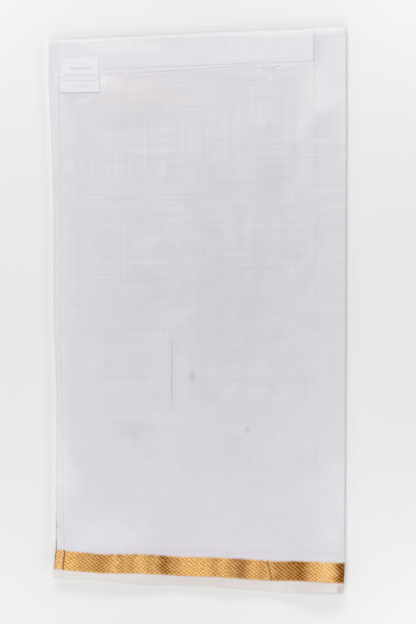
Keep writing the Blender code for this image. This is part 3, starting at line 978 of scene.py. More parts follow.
# %% Lines of painted shade (rise above 0) and painted light (below 0) on the body cloth
painted_shade_and_light_lines = table(
    "x0 y0 x1 y1 bow width rise",
    (-260, 303.1, 260, 326.7, 1.7, 1.7, -0.60),
    (-150, 268.2, -45, 273.9, 0.4, 1.2, -0.42),
    (-60, 272.9, 20, 278.3, 0, 1.2, -0.46),
    (8, 277.5, 100, 283.2, 0.3, 1.2, -0.44),
    (90, 282.4, 140, 285.1, 0, 1.2, -0.30),
    (134.6, 318, 134.2, 226, 0, 1, 0.10),
    (139.8, 317, 139.8, 276, 0, 0.9, 0.10),
    (136.8, 319, 136.8, 272, 0, 2.8, 0.12),
    (135.6, 286, 136.8, 120, 0, 2.6, 0.09),
    (138.4, 210, 137.4, -262, 0, 0.9, 0.10),
    (-160, 248.4, -110.5, 249.2, 0, 1.7, 0.14),
    (-27.9, -26, -28.4, -119, -1.2, 0.9, 0.46),
    (72, -77, 98, -99, 0.8, 1.9, 0.09),
    (80, -79, 96, -92, 0.8, 1.4, -0.04),
    (-152, -273, 150, -284.5, 0, 4.5, 0.05),
    (170, 252, 110, 197, -6, 8, -0.22),
    (122, 194.6, 169, 193.6, 0, 0.9, -0.22),
    (-156, 173, -140, 154.5, 0, 0.9, -0.26),
    (-141, 173, -156, 155, 0, 0.9, -0.26),
    (63.5, 262, 63.5, 220, 0, 0.9, -0.18),
    (-104, -134.6, -54, -135.2, 0, 0.8, -0.22),
    (-92, -139.2, -56, -139.6, 0, 0.8, -0.16),
    (76, -243, 112, -266, -4, 1.9, 0.05),
    (108, -263, 131, -278.5, -1.5, 1.6, 0.08),
    (122, -277.8, 174, -278.6, -0.6, 1.6, 0.10),
    (67.5, 282.4, 95.9, 281.7, 0, 0.9, -0.36),
    (87, 276, 103.5, 280.8, 0.5, 1, -0.62),
    (102, 280.6, 118, 281.4, 0, 1, -0.20),
    (66, 275.2, 77.5, 275.9, 0, 1, -0.40),
    (79, 267, 87, 267.2, 0, 1.8, -0.34),
    (-142, 237.5, -115, 247.6, -0.8, 2.2, -0.26),
    (-157, 290.9, -112, 291.8, 0, 1.1, -0.30),
    (-111.6, 250, -111.4, 290, 0, 1, -0.34),
    (-151, 245.4, -142, 244.6, 0, 1.6, 0.14),
    (-128, 238, -112, 243.6, 0, 2.8, 0.09),
    (85, 277.9, 96, 280.6, 0.4, 1, 0.42),
    (72.5, 279.9, 84, 278.6, 0, 1.5, 0.30),
    (141, 314, 176, 315.4, 0, 1.3, 0.12),
    (-162.8, -241, -159.6, -252.5, 0, 0.8, 0.55),
)
print(len(painted_shade_and_light_lines), "greyed and whiter lines on the body cloth")

# %% Make the body cloth
BODY_ROWS = 212
FRONT_COLUMNS = 172


def painted_shade_and_light_field(points):
    """How much painted shade greys each point of the body cloth, or below 0 painted light whitens
    it: by the lines above, and beside the hem near the head."""
    x, y = points[..., 0], points[..., 1]
    beside_hem = x - along(side_lines, "hem", y) - 0.4
    painted_hem_shade = 0.05 * bell(beside_hem, 0.8) * smooth_step(150.0, 240.0, y)
    return np.clip(crease_relief(painted_shade_and_light_lines, x, y) + painted_hem_shade, -1.0, 1.0)


def body_rows(x):
    """Rows of the body cloth, from the head's roll down to the gold border."""
    start = head_line(x) - ROLL_LENGTH * head_share(x) - 0.2
    foot = along(foot_lines, "border_head", x)
    share = graded(0.0, 1.0, BODY_ROWS, (0.0, 0.10, 1.2), (1.0, 0.09, 1.5), (0.66, 0.05, 0.5))
    return blend(start, foot, share[:, None])


front_places = graded(*FRONT_SPAN, FRONT_COLUMNS, (-165.0, 6.0, 0.8), (-27.0, 5.0, 2.2),
                      (88.0, 14.0, 0.5), (136.0, 7.0, 1.4), (168.0, 3.0, 1.0))
body_points, body_above = sheet_grid(body_rows, front_places)
body_points = roll_head(body_points, body_above, FRONT_START + len(front_places) - 1)
roll_rows = len(body_points) - len(body_above)
body_cloth = cloth_piece("body_cloth_front", body_points, [body_cotton], SHEET,
                         anchor=(roll_rows, FRONT_START))
keep_value(body_cloth, "painted_shade_and_light", painted_shade_and_light_field(body_points))

# %% [markdown]
# ## Gold border
# The border is woven in one piece with the body cloth, so its edge meets it line to line. Raised
# diamonds stand in staggered rows between two plain edge lines with small teeth. The relief is a
# product of two cosines, one along the border and one across it. Bump alone could draw it, but
# real cushions also catch the light at the edges and in a view from the side.

# %% Relief of the border
CUSHION_RISE = 0.10
BORDER_ROWS = 56
BORDER_COLUMNS = 559


def edge_teeth(u):
    """Teeth along an edge of the border, 0 to 1: half of one plus a cosine."""
    return 0.5 + 0.5 * np.cos(math.tau * u / TOOTH_PITCH)


def outward(points):
    """Unit normals of a grid: the cross product of its steps down and its steps along."""
    along_step = np.gradient(points, axis=1)
    down_step = np.gradient(points, axis=0)
    normal = np.cross(down_step, along_step)
    return normal / np.linalg.norm(normal, axis=2, keepdims=True)


# %% The lattice, and the white gaps between the teeth
def diamond_field(points):
    """Height of the lattice, 0 to 1: half of one plus the product of two cosines; towards the
    border's two edges it turns into a plain line with teeth."""
    distance = cloth_distance(points)
    u, v = distance[..., 0], distance[..., 1]
    width = v[-1:]
    inner_v = v - EDGE_LINE
    lattice = np.cos(math.tau * u / LATTICE_ALONG) * np.cos(math.tau * inner_v / LATTICE_ACROSS)
    lattice = 0.5 + 0.5 * lattice
    from_edge = np.minimum(v, width - v)
    line = 0.45 + 0.20 * edge_teeth(u)
    return blend(line, lattice, smooth_step(EDGE_LINE * 0.75, EDGE_LINE * 1.1, from_edge))


def white_gaps(points):
    """Where the ground cotton shows between the teeth: within a short way of the border's two
    edges, and wider at its head edge than at its foot edge."""
    distance = cloth_distance(points)
    u, v = distance[..., 0], distance[..., 1]
    from_head = smooth_step(HEAD_TOOTH, HEAD_TOOTH * 0.5, v)
    from_foot = smooth_step(FOOT_TOOTH, FOOT_TOOTH * 0.5, v[-1:] - v)
    return (1.0 - edge_teeth(u)) * np.maximum(from_head, from_foot)


# %% Where painted shade darkens the border's slopes, and where painted shine brightens it
painted_shade_and_shine_places = table(
    "x width strength",
    (-132, 7.5, 0.27),
    (-111.5, 12, 0.57),
    (-94, 4, -0.12),
    (-87, 6, 0.34),
    (-75.5, 5, 0.34),
    (-65.5, 4.5, -0.06),
    (-56.5, 4.3, 0.22),
    (-37.4, 7.9, 0.81),
    (-24, 6, 0.32),
    (19.5, 5.5, 0.36),
    (37.5, 4.5, 0.28),
    (50.2, 7.5, 0.69),
    (57.5, 5, 0.16),
    (74.3, 6, 0.36),
    (94, 7.8, 0.66),
    (105.5, 5.5, 0.50),
    (118.3, 9.8, 0.92),
    (136.5, 2.5, 0.12),
    (148, 9, -0.24),
    (165, 6.5, 1.00),
)
print(len(painted_shade_and_shine_places), "slopes along the border")

# %% Where short pulls of painted shade start at its head edge
pull_places = table(
    "x width strength",
    (-124, 2.6, 0.45),
    (-98, 2.2, 0.80),
    (-88.5, 2, 0.85),
    (-70, 2.4, 0.80),
    (-52, 2.6, 0.70),
    (-40, 3.2, 0.50),
    (24, 2.4, 0.35),
    (44, 4, 0.50),
    (112, 6, 0.50),
)
PULL_LENGTH = 5.5
print(len(pull_places), "pulls at the border's head edge")

# %% Painted shade along a pressed crease of the border, and beside the hem
HEM_SHADE_WIDTH = 0.75

border_lines = table(
    "x0 y0 x1 y1 bow width rise",
    (79, -284, 86.2, -315, 0.6, 0.6, 0.85),
    (-160.5, -270, -161, -276, 0, 0.8, 0.6),
)


# %% Read the slopes and the seams
def bells(places, x):
    """A sum of bell curves: one at each place, with its own width and strength."""
    total = np.zeros_like(x)
    for place in places:
        total = total + place["strength"] * bell(x - place["x"], place["width"])
    return total


def painted_shade_and_shine_field(points):
    """How much painted shade darkens the border where it slopes: a bell curve round each of its
    slopes, and short pulls at its head edge. Below 0 it is a painted shine, where the border faces
    the light. A slow ripple breaks the slopes up."""
    x, y = points[..., 0], points[..., 1]
    rippled_x = x + 1.0 * np.sin(y / 1.9) + 0.9 * np.sin(y / 3.3 + x / 11.0)
    from_head = along(foot_lines, "border_head", x) - y
    from_foot = y - along(foot_lines, "border_foot", x)
    edge_line = smooth_step(EDGE_LINE * 1.3, EDGE_LINE * 0.7, np.minimum(from_head, from_foot))
    painted_shade_and_shine = bells(painted_shade_and_shine_places, rippled_x) * (1.0 - 0.5 * edge_line)
    painted_shade_and_shine = painted_shade_and_shine + bells(pull_places, x + 0.35 * from_head) * smooth_step(PULL_LENGTH, 0.0,
                                                                           from_head)
    return np.clip(painted_shade_and_shine, -0.5, 1.0)


# %% Lines of painted shade, and rows of the border
def border_painted_shade(points):
    """Painted shade on the border, 0 to 1: along its pressed creases, and beside the drop at the
    hem.
    """
    x, y = points[..., 0], points[..., 1]
    beside_hem = x - along(side_lines, "hem", y) - 0.5
    painted_hem_shade = 0.9 * bell(beside_hem, HEM_SHADE_WIDTH)
    return np.clip(crease_relief(border_lines, x, y) + painted_hem_shade, 0.0, 1.0)


def border_rows(x):
    """Rows of the gold border, evenly spaced."""
    share = np.linspace(0.0, 1.0, BORDER_ROWS + 1)[:, None]
    return blend(along(foot_lines, "border_head", x), along(foot_lines, "border_foot", x), share)


# %% Make the gold border
border_points, _ = sheet_grid(border_rows, np.linspace(*FRONT_SPAN, BORDER_COLUMNS + 1))
cushions = diamond_field(border_points)
raised = border_points + outward(border_points) * (cushions[..., None] - 0.4) * CUSHION_RISE
gold_border = cloth_piece("gold_border_front", raised, [gold_zari], SHEET,
                          anchor=(0, FRONT_START))
keep_value(gold_border, "cushion", cushions)
keep_value(gold_border, "white", white_gaps(border_points))
keep_value(gold_border, "painted_shade_and_shine", painted_shade_and_shine_field(border_points))
keep_value(gold_border, "painted_shade_and_light", border_painted_shade(border_points))

# %% [markdown]
# ## Selvedge
# Below the gold runs a plain, closely woven strip that ends in the sheet's self-finished edge.
# Its loose edge is a little wavy, because the threads there pull unevenly. It could be one mesh
# with the gold, but a piece of its own keeps the border's fine grid out of the plain cloth.

# %% Make the selvedge
SELVEDGE_ROWS = 18
SELVEDGE_COLUMNS = 299


def selvedge_rows(x):
    """Rows of the selvedge, down to its slightly uneven loose edge."""
    share = np.linspace(0.0, 1.0, SELVEDGE_ROWS + 1)[:, None]
    edge = along(foot_lines, "loose_edge", x) + 0.16 * np.sin(x / 2.9) + 0.12 * np.sin(x / 6.1)
    return blend(along(foot_lines, "border_foot", x), edge, share)


selvedge_points, _ = sheet_grid(selvedge_rows, np.linspace(*FRONT_SPAN, SELVEDGE_COLUMNS + 1))
selvedge = cloth_piece("selvedge_front", selvedge_points, [selvedge_cotton], SHEET,
                       anchor=(0, FRONT_START))

# %% [markdown]
# ## The plies inside
# Under the front lie eleven more plies. Two of them are nested in the right fold: they run right
# under the front, turn round inside the fold and come back. Their loose edges show in the raised
# loop at the foot. They carry the same border, so each row of faces is given its own material,
# which is simpler than three more pieces for what is seen only as an edge.

# %% Rows that carry the border's bands
BAND_SLOTS = {"body": 0, "border": 1, "selvedge": 2}
BAND_ROWS = (44, 10, 5)


def banded_rows(x, head_inset, foot_inset):
    """Rows of a whole ply: its body, then the border's band, then the selvedge. The bands keep
    their places across the cloth, moved by as much as the ply's own foot is set in."""
    head = head_line(x) - head_inset
    border_head = along(foot_lines, "border_head", x) + foot_inset
    border_foot = along(foot_lines, "border_foot", x) + foot_inset
    loose_edge = along(foot_lines, "loose_edge", x) + foot_inset
    body = blend(head, border_head, np.linspace(0.0, 1.0, BAND_ROWS[0] + 1)[:-1, None])
    band = blend(border_head, border_foot, np.linspace(0.0, 1.0, BAND_ROWS[1] + 1)[:-1, None])
    plain = blend(border_foot, loose_edge, np.linspace(0.0, 1.0, BAND_ROWS[2] + 1)[:, None])
    return np.concatenate([body, band, plain])


def band_slots():
    """The material slot of each row of a banded ply."""
    return np.repeat(list(BAND_SLOTS.values()), BAND_ROWS)


ply_materials = [folded_cotton, gold_reverse, selvedge_cotton]

# %% Insets of the two plies nested in the right fold
NEST_SPAN = (-165.0, 168.0)
NEST_COLUMNS = 59
NEST_FOLD_CELLS = 10
NEST_BACK_CELLS = 17
NEST_DROP = 0.62
NEST_LEFT_INSET = 2.0
NEST_BACK_INSET = 1.4
NEST_HEAD_INSET = 6.5
NEST_HEAD_CLEAR = 12.0
NEST_FOOT_INSET = 2.4
NEST_BACK_FOOT_INSET = 3.6


# %% Points of the nested plies
def nested_grid():
    """The nested plies as one grid: right under the front, round inside the fold, and back.
    Both keep a small distance from the sheet that wraps them."""
    share = np.linspace(0.0, 1.0, NEST_COLUMNS + 1)[None, :]
    y = banded_rows(blend(*NEST_SPAN, share), NEST_HEAD_INSET, NEST_FOOT_INSET)
    y = y + 0.5 * np.sin(share * 9.0) * smooth_step(-200.0, -300.0, y)
    half = SHEET / 2.0
    left = along(side_lines, "left", y) + NEST_LEFT_INSET
    right = along(side_lines, "right", y)
    outer = (2.0 * WALL + stand_off(right - FOLD_INSET, y)) / 2.0
    top_x = blend(left, right - outer, share)
    top = np.stack([top_x, y, front_face(top_x, y) - half - NEST_DROP], axis=2)
    end_x = top[:, -1:, 0]
    below = core_height(end_x, top[:, -1:, 1]) + REST_GAP + half + NEST_DROP
    fold = right_fold(top, below, NEST_FOLD_CELLS)
    back_share = np.linspace(0.0, 1.0, NEST_BACK_CELLS + 1)[None, 1:]
    back_y = banded_rows(blend(*NEST_SPAN[::-1], back_share), NEST_HEAD_INSET,
                         NEST_BACK_FOOT_INSET)
    back_y = np.minimum(back_y + BACK_RISE * back_share, head_line(0.0) - NEST_HEAD_CLEAR)
    back_x = blend(end_x, along(side_lines, "left", back_y) + NEST_BACK_INSET, back_share)
    back_z = core_height(back_x, back_y) + REST_GAP + half + NEST_DROP
    back = np.stack([back_x, back_y, back_z], axis=2)
    return np.concatenate([top, fold, back], axis=1)


nested_points = nested_grid()
nested_plies = cloth_piece("nested_plies", nested_points, ply_materials, 0.3)
paint_rows(nested_plies, band_slots(), nested_points.shape[1])
keep_value(nested_plies, "cushion", np.full(nested_points.shape[:2], 0.7))

# %% [markdown]
# ## The stacked folds
# The eight lowest plies are four flat pockets. Each is closed by a fold at the left, at the right
# and along the head, and open at the foot. The section of a pocket is a flat loop with half-round
# ends, carried down the packet, and towards the head it closes like the toe of a sock. A solid
# block with lines drawn on it would do from above, but not in a view from low down.

# %% Sizes of the four pockets
stacked_folds = table(
    "left right head foot",
    (1, 3.2, 2.6, 1),
    (3, 2.2, 3.6, 3.5),
    (1.6, 3.6, 2.4, 0.4),
    (2.2, 2.6, 3.2, 2.4),
)
POCKET_FOOT_REACH = 7.0
TOE_LENGTH = 1.6
POCKET_PLY = 0.3
POCKET_COLUMNS = 96
SIDE_ROUNDING = 1.2
CORNER_REACH_Y = (290.0, 316.0)
CORNER_PULL = 1.6
POCKET_DROOP_START = 6.0
THIN_FOOT_SHARE = 0.45


# %% Points of one pocket
def pocket_grid(level):
    """One pocket: the columns run once round its section, the rows from its toe to its foot.

    The height is the pocket's share of the folded plies. Near a side, the section's half height
    follows a half ellipse, and the same again along the rows near the toe.
    """
    fold = stacked_folds[level]
    turn = np.linspace(0.0, math.tau, POCKET_COLUMNS + 1)[None, :]
    side = np.cos(turn)
    across = 0.5 + 0.5 * np.sign(side) * (1.0 - (1.0 - np.abs(side)) ** 1.6)
    guess = blend(-HALF_WIDTH, HALF_WIDTH, across)
    rows = banded_rows(guess, fold["head"], fold["foot"] + CORE_FOOT_INSET - POCKET_FOOT_REACH)
    toe_angle = np.linspace(0.0, math.pi / 2.0, 7)[:, None]
    toe_y = rows[:1] - TOE_LENGTH * (1.0 - np.cos(math.pi / 2.0 - toe_angle))
    y = np.concatenate([toe_y[:-1], blend(toe_y[-1:], rows[1:2], 0.5), rows[1:]])
    toe = np.concatenate([np.sin(toe_angle[:-1]), np.ones((len(rows), 1))])

    ripple = 0.35 * np.sin(y / 37.0 + level * 1.7) + 0.2 * np.sin(y / 11.0 + level)
    left = along(side_lines, "left", y) + fold["left"] + ripple
    right = along(side_lines, "right", y) - fold["right"] - ripple
    x = blend(left, right, across)
    corner = (np.abs(2.0 * across - 1.0) * smooth_step(*CORNER_REACH_Y, y)) ** 6
    x = x - CORNER_PULL * corner * np.sign(x)

    count = len(stacked_folds)
    droop = smooth_step(core_foot(x) + POCKET_DROOP_START, core_foot(x) - DROOP_LENGTH, y)
    height = core_height(x, np.maximum(y, core_foot(x) + 4.0))
    height = height * blend(THIN_FOOT_SHARE, 1.0, 1.0 - droop)
    lowest = height * level / count
    from_side = np.minimum(x - left, right - x)
    rounding = np.sqrt(1.0 - (1.0 - np.clip(from_side / SIDE_ROUNDING, 0.0, 1.0)) ** 2)
    half = (height / count / 2.0 - POCKET_PLY * 0.15) * toe * rounding
    sway = 0.05 * np.sin(x / 23.0 + level * 2.1) * np.sin(y / 31.0 + level)
    z = lowest + height / count / 2.0 + np.sign(np.sin(turn)) * half + sway
    z = np.maximum(z, 0.02)
    return np.stack([x, y, z], axis=2)[:, ::-1]


# %% Make the four pockets
pockets = []
for level in range(len(stacked_folds)):
    points = pocket_grid(level)
    pocket = cloth_piece(f"stacked_fold_{level + 1}", points, ply_materials, POCKET_PLY, -1.0)
    toe_rows = len(points) - 1 - sum(BAND_ROWS)
    paint_rows(pocket, np.concatenate([np.zeros(toe_rows, dtype=int), band_slots()]),
               points.shape[1])
    keep_value(pocket, "cushion", np.full(points.shape[:2], 0.7))
    pockets.append(pocket)

# %% [markdown]
# ## Waist strip
# Along the head a doubled strip of the same cotton is sewn on. A row of stitches pulls a groove
# into it a few millimetres above its lower edge, and the free edge below stands up a little. The
# cloth puckers between the stitches: short waves across the groove, of uneven strength. Its height
# is the front's own height and its own thickness, so it can never sink into the cloth below it.

# %% Shape of the waist strip
STRIP_LEFT = -161.0
STRIP_RIGHT = 133.6
STRIP_HEAD_INSET = 3.0
STRIP_DEPTH = 43.4
STRIP_DEPTH_END = 39.7
STRIP_NARROWS_FROM = -90.0
STRIP_THICKNESS = 0.5
STRIP_COLUMNS = 400
STRIP_ROWS = 66
GROOVE_DEPTH_LEFT = 37.7
GROOVE_DEPTH_RIGHT = 39.1
GROOVE_DROP = 0.42
GROOVE_WIDTH = 0.9
RIM_WIDTH = 1.5
RIM_DROP = 0.42


def strip_foot(x):
    """Lower edge of the waist strip, which narrows a little towards its right end."""
    narrower = smooth_step(STRIP_NARROWS_FROM, STRIP_RIGHT, x)
    return head_line(x) - blend(STRIP_DEPTH, STRIP_DEPTH_END, narrower)


def groove_line(x):
    """Where the strip is stitched down, above its lower edge."""
    share = (x - STRIP_LEFT) / (STRIP_RIGHT - STRIP_LEFT)
    return head_line(x) - blend(GROOVE_DEPTH_LEFT, GROOVE_DEPTH_RIGHT, share)


# %% Upper face of the waist strip
def strip_top(x, y):
    """Upper face of the strip: the front moved out by its thickness, with a groove along the
    stitches, a lifted edge below them, a rounded rim, and puckers across the groove."""
    from_groove = y - groove_line(x)
    groove = -GROOVE_DROP * bell(from_groove, GROOVE_WIDTH)
    lifted = 0.16 * bell(from_groove + 2.9, 1.7)
    near = bell(from_groove, 6.5)
    uneven = 0.6 + 0.4 * np.sin(x / 23.0 + 0.7)
    pucker = 0.10 * uneven * near * (np.sin(x / 1.15) + 0.7 * np.sin(x / 1.93 + 1.1))
    shallow = 0.10 * np.sin(x / 17.0) * np.sin(y / 9.0)
    past = np.minimum(np.minimum(y - strip_foot(x), head_line(x) - STRIP_HEAD_INSET - y),
                      np.minimum(x - STRIP_LEFT, STRIP_RIGHT - x))
    inset = 1.0 - np.clip(past / RIM_WIDTH, 0.0, 1.0)
    rim = RIM_DROP * (1.0 - np.sqrt(1.0 - inset**2))
    return front_face(x, y) + STRIP_THICKNESS + 0.08 + groove + lifted + pucker + shallow - rim


# %% Make the waist strip
strip_x = np.concatenate([
    [STRIP_LEFT, STRIP_LEFT + 0.3], graded(STRIP_LEFT + 0.7, STRIP_RIGHT - 0.7, STRIP_COLUMNS),
    [STRIP_RIGHT - 0.3, STRIP_RIGHT]])[None, :]
strip_share = graded(0.0, 1.0, STRIP_ROWS, (0.91, 0.07, 2.5), (0.0, 0.02, 3.0), (1.0, 0.02, 3.0))
strip_y = blend(head_line(strip_x) - STRIP_HEAD_INSET, strip_foot(strip_x), strip_share[:, None])
strip_x = np.broadcast_to(strip_x, strip_y.shape)
strip_z = strip_top(strip_x, strip_y)
strip_points = np.stack([strip_x, strip_y, strip_z], axis=2)
waist_strip = cloth_piece("waist_strip_doubled", strip_points, [strip_cotton],
                          STRIP_THICKNESS, -1.0)
# Painted shade along the groove, and a little below it except at the left end; the body cloth's
# lines of painted shade and light carry on across the strip.
from_groove = strip_y - groove_line(strip_x)
painted_shade_below_groove = smooth_step(0.6, -0.6, from_groove) * smooth_step(-100.0, -84.0, strip_x)
keep_value(waist_strip, "painted_shade_and_light", np.clip(
    0.15 * bell(from_groove, GROOVE_WIDTH) + 0.07 * painted_shade_below_groove
    + crease_relief(painted_shade_and_light_lines, strip_x, strip_y), -1.0, 1.0))

# %% [markdown]
# ## Label
# The sewn label is a small piece of satin, half on the waist strip and half on the body cloth.
# Satin has long floating threads that lie side by side, so it is smoother than the cotton round
# it and shines along one direction. It is left blank but for four plain bars, which are part of
# its material: woven bars have no thickness that could be seen.

# %% Size of the label, and its four plain bars
LABEL_LEFT = -157.6
LABEL_RIGHT = -112.5
LABEL_HEAD = 290.3
LABEL_FOOT = 249.6
# Satin's real threads are about 0.15 mm apart, and are drawn coarser, so that they show. Its faint
# uneven patches are 5 to 6 mm wide, so 180 of them go into a metre.
SATIN_THREAD = 0.5
UNEVEN_PER_METRE = 180.0

label_bars = table(
    "left right y height strength",
    (-147, -121.5, 277.4, 1.6, 0.30),
    (-153, -116, 270, 2, 0.23),
    (-153, -116, 263.7, 1.4, 0.23),
    (-144.5, -124, 257.4, 1.8, 0.16),
)


# %% Satin, with the bars woven in
def satin(name):
    """Woven polyester satin: fine threads across, a smooth soft shine along them, and the bars
    woven in a slightly darker thread. A bar is the product of two ramps that fall to 0 just past
    its sides and its ends."""
    material, shader = new_material(name, Roughness=0.48, Sheen_Weight=0.1, Sheen_Roughness=0.4,
                                    Anisotropic=0.35, Specular_IOR_Level=0.4)
    place = add_node(material, "TexCoord").outputs["Object"]
    noise = add_node(material, "TexNoise", {"Vector": place, "Scale": UNEVEN_PER_METRE,
                     "Detail": 2.0})
    colour = add_node(material, "MixRGB", {"Fac": noise, "Color1": linear("#f3f3f8"),
                      "Color2": linear("#ecebf2")})
    for bar in label_bars:
        middle = (bar["left"] + bar["right"]) / 2.0
        half_length, half_height = (bar["right"] - bar["left"]) / 2.0, bar["height"] / 2.0
        away = add_node(material, "VectorMath", {0: place, 1: (-middle * MM, -bar["y"] * MM, 0.0)},
                        operation="ADD")
        size = add_node(material, "VectorMath", {0: away}, operation="ABSOLUTE")
        parts = add_node(material, "SeparateXYZ", {0: size})
        ramps = [add_node(material, "MapRange", {"Value": parts.outputs[axis],
                          "From Min": outer * MM, "From Max": inner * MM})
                 for axis, outer, inner in (("X", half_length + 0.8, half_length - 1.6),
                                            ("Y", half_height + 1.2, half_height - 0.8))]
        inside = add_node(material, "Math", dict(enumerate(ramps)), operation="MULTIPLY")
        colour = tint(material, colour, "#b4b7c8", bar["strength"], inside)
    thread = thread_wave(material, add_node(material, "UVMap", uv_map="UVMap"), "Y", SATIN_THREAD)
    relief = add_node(material, "Bump", {"Height": thread, "Distance": 0.03 * MM,
                      "Strength": 0.5})
    set_inputs(material, shader, {"Base Color": colour, "Normal": relief})
    return material


# Floating threads lie smooth and close: a soft shine that stretches along them.
white_satin = satin("woven_polyester_satin")

# %% Make the label
LABEL_THICKNESS = 0.28
LABEL_CLEAR = 0.34
LABEL_COLUMNS = 88
LABEL_ROWS = 84


def label_top(x, y):
    """Upper face of the label: it lies on the strip at its head and on the cloth at its foot,
    with a soft step between, and its sewn edges are drawn down a little."""
    share = smooth_step(-12.0, 2.0, y - strip_foot(x))
    on_strip = STRIP_THICKNESS + LABEL_CLEAR
    z = front_face(x, y) + blend(0.12, on_strip, share) + LABEL_THICKNESS + 0.05
    from_edge = np.minimum(np.minimum(x - LABEL_LEFT, LABEL_RIGHT - x),
                           np.minimum(y - LABEL_FOOT, LABEL_HEAD - y))
    bulge = 0.22 * smooth_step(0.0, 6.0, from_edge)
    ripple = 0.07 * np.sin(x / 3.4) * np.sin(y / 5.1 + 1.0)
    return z + bulge + ripple


label_x = np.linspace(LABEL_LEFT, LABEL_RIGHT, LABEL_COLUMNS + 1)[None, :]
label_y = np.linspace(LABEL_HEAD, LABEL_FOOT, LABEL_ROWS + 1)[:, None]
bent_x = label_x + 0.25 * np.sin(label_y / 9.0) * (label_x - LABEL_LEFT) / 44.0
bent_y = label_y + 0.02 * (label_x - LABEL_LEFT)
label_points = np.stack([bent_x, bent_y, label_top(bent_x, bent_y)], axis=2)
label = cloth_piece("sewn_label", label_points, [white_satin], LABEL_THICKNESS, -1.0)

# %% [markdown]
# ## Stitches
# A machine stitch shows as a short thread lying on the cloth, pulled into it at both ends. Each is
# a small closed capsule with six sides. An Array modifier or Geometry Nodes could copy it along a
# line. Here one array of capsule points is turned and moved to every place at once, so a row of
# hundreds is one plain mesh, and each stitch can lie on cloth that isn't flat.

# %% Spun thread: matt, with a twist that shows as fine light and dark flecks
def speckled(name, shades, scale, detail, bump, strength, **constants):
    """A material of two near shades, mixed and raised by one fine noise. The scale is in grains
    a metre, and the bump is in millimetres."""
    material, shader = new_material(name, **constants)
    place = add_node(material, "TexCoord").outputs["Object"]
    noise = add_node(material, "TexNoise", {"Vector": place, "Scale": scale, "Detail": detail})
    colour = add_node(material, "MixRGB", {"Fac": noise, "Color1": linear(shades[0]),
                      "Color2": linear(shades[1])})
    relief = add_node(material, "Bump", {"Height": noise, "Distance": bump * MM,
                      "Strength": strength})
    set_inputs(material, shader, {"Base Color": colour, "Normal": relief})
    return material


# The real twist is about 0.4 mm long. It is drawn 0.7 mm long, 1400 to a metre, so that it shows.
TWISTS_PER_METRE = 1400.0

white_thread, cream_thread = (
    speckled(name, (shade, "#fdfcfa"), TWISTS_PER_METRE, 1.0, 0.1, 0.5, Roughness=0.8,
             Sheen_Weight=0.1, Sheen_Roughness=0.5)
    for name, shade in (("spun_cotton_thread", "#e6e5ea"), ("spun_cream_thread", "#ebe3cd")))

# %% A row of stitches as one mesh
CAPSULE_RINGS = ((-1.0, 0.35), (-0.6, 0.9), (0.0, 1.0), (0.6, 0.9), (1.0, 0.35))
CAPSULE_SIDES = 6


def stitches(name, x, y, heading, surface, length, width, material, lift=0.12):
    """Make a capsule at every (x, y), turned to its heading, on the surface given. Its points
    are the rings of a capsule: radius times the cosine and the sine round its axis."""
    x, y, heading = np.broadcast_arrays(np.asarray(x, float), y, heading)
    ring_at, ring_size = np.array(CAPSULE_RINGS).T
    around = np.linspace(0.0, math.tau, CAPSULE_SIDES, endpoint=False)
    reach = (ring_at * length / 2.0)[:, None] + 0.0 * around
    aside = ring_size[:, None] * np.cos(around) * width / 2.0
    up = ring_size[:, None] * np.sin(around) * width / 2.0
    cosine, sine = np.cos(heading)[:, None, None], np.sin(heading)[:, None, None]
    point_x = x[:, None, None] + cosine * reach - sine * aside
    point_y = y[:, None, None] + sine * reach + cosine * aside
    sag = 0.25 * width * (ring_at**2)[:, None]
    point_z = surface(point_x, point_y) + lift + up - sag
    points = np.stack([point_x, point_y, point_z], axis=3).reshape(-1, 3)

    rings = len(CAPSULE_RINGS)
    side = np.arange(CAPSULE_SIDES)
    low = np.arange(rings - 1)[:, None] * CAPSULE_SIDES
    after = (side + 1) % CAPSULE_SIDES
    wall = np.stack([low + side, low + CAPSULE_SIDES + side, low + CAPSULE_SIDES + after,
                     low + after], axis=2).reshape(-1, 4)
    first = np.arange(len(x))[:, None, None] * rings * CAPSULE_SIDES
    quads = (wall[None] + first).reshape(-1, 4).tolist()
    start_cap = (side[None, None] + first).reshape(-1, CAPSULE_SIDES).tolist()
    last_ring = (rings - 1) * CAPSULE_SIDES
    end_cap = (side[::-1][None, None] + last_ring + first).reshape(-1, CAPSULE_SIDES).tolist()
    distance = np.zeros((len(points), 2))
    return new_piece(name, points, quads + start_cap + end_cap, distance, [material])


# %% Stitches of the hem
HEM_STITCH_PITCH = 3.1
HEM_STITCH_INSET = 1.9


def hem_top(x, y):
    """Upper face of the hem."""
    return front_face(x, y) + HEM_LIFT


hem_y = np.arange(-312.0, 312.0, HEM_STITCH_PITCH)
hem_x = along(side_lines, "hem", hem_y) - HEM_STITCH_INSET
hem_stitches = stitches("hem_stitches", hem_x, hem_y, math.pi / 2.0 - 0.02 * np.sin(hem_y),
                        hem_top, 2.2, 0.42, white_thread, 0.02)

# %% Stitches of the waist strip: along its groove, and a cream row along the head
GROOVE_STITCH_PITCH = 3.0
HEAD_STITCH_PITCH = 5.2

groove_x = np.arange(STRIP_LEFT + 2.0, STRIP_RIGHT - 1.0, GROOVE_STITCH_PITCH)
groove_stitches = stitches("groove_stitches", groove_x, groove_line(groove_x), HEAD_SLOPE,
                           strip_top, 2.0, 0.4, white_thread, 0.05)

head_row = table("x y", (-161, 306.2), (-153, 305.4), (-118, 302.2), (-60, 306.2),
                 (0, 311.4), (60, 312.2), (124, 311))
head_x = np.arange(STRIP_LEFT + 1.0, STRIP_RIGHT - 3.0, HEAD_STITCH_PITCH)
head_y = along(head_row, "y", head_x)
head_heading = np.arctan(np.gradient(head_y, head_x)) + 0.05 * np.sin(head_x * 1.7)
head_stitches = stitches("head_stitches", head_x, head_y, head_heading, strip_top, 3.4, 0.6,
                         cream_thread)

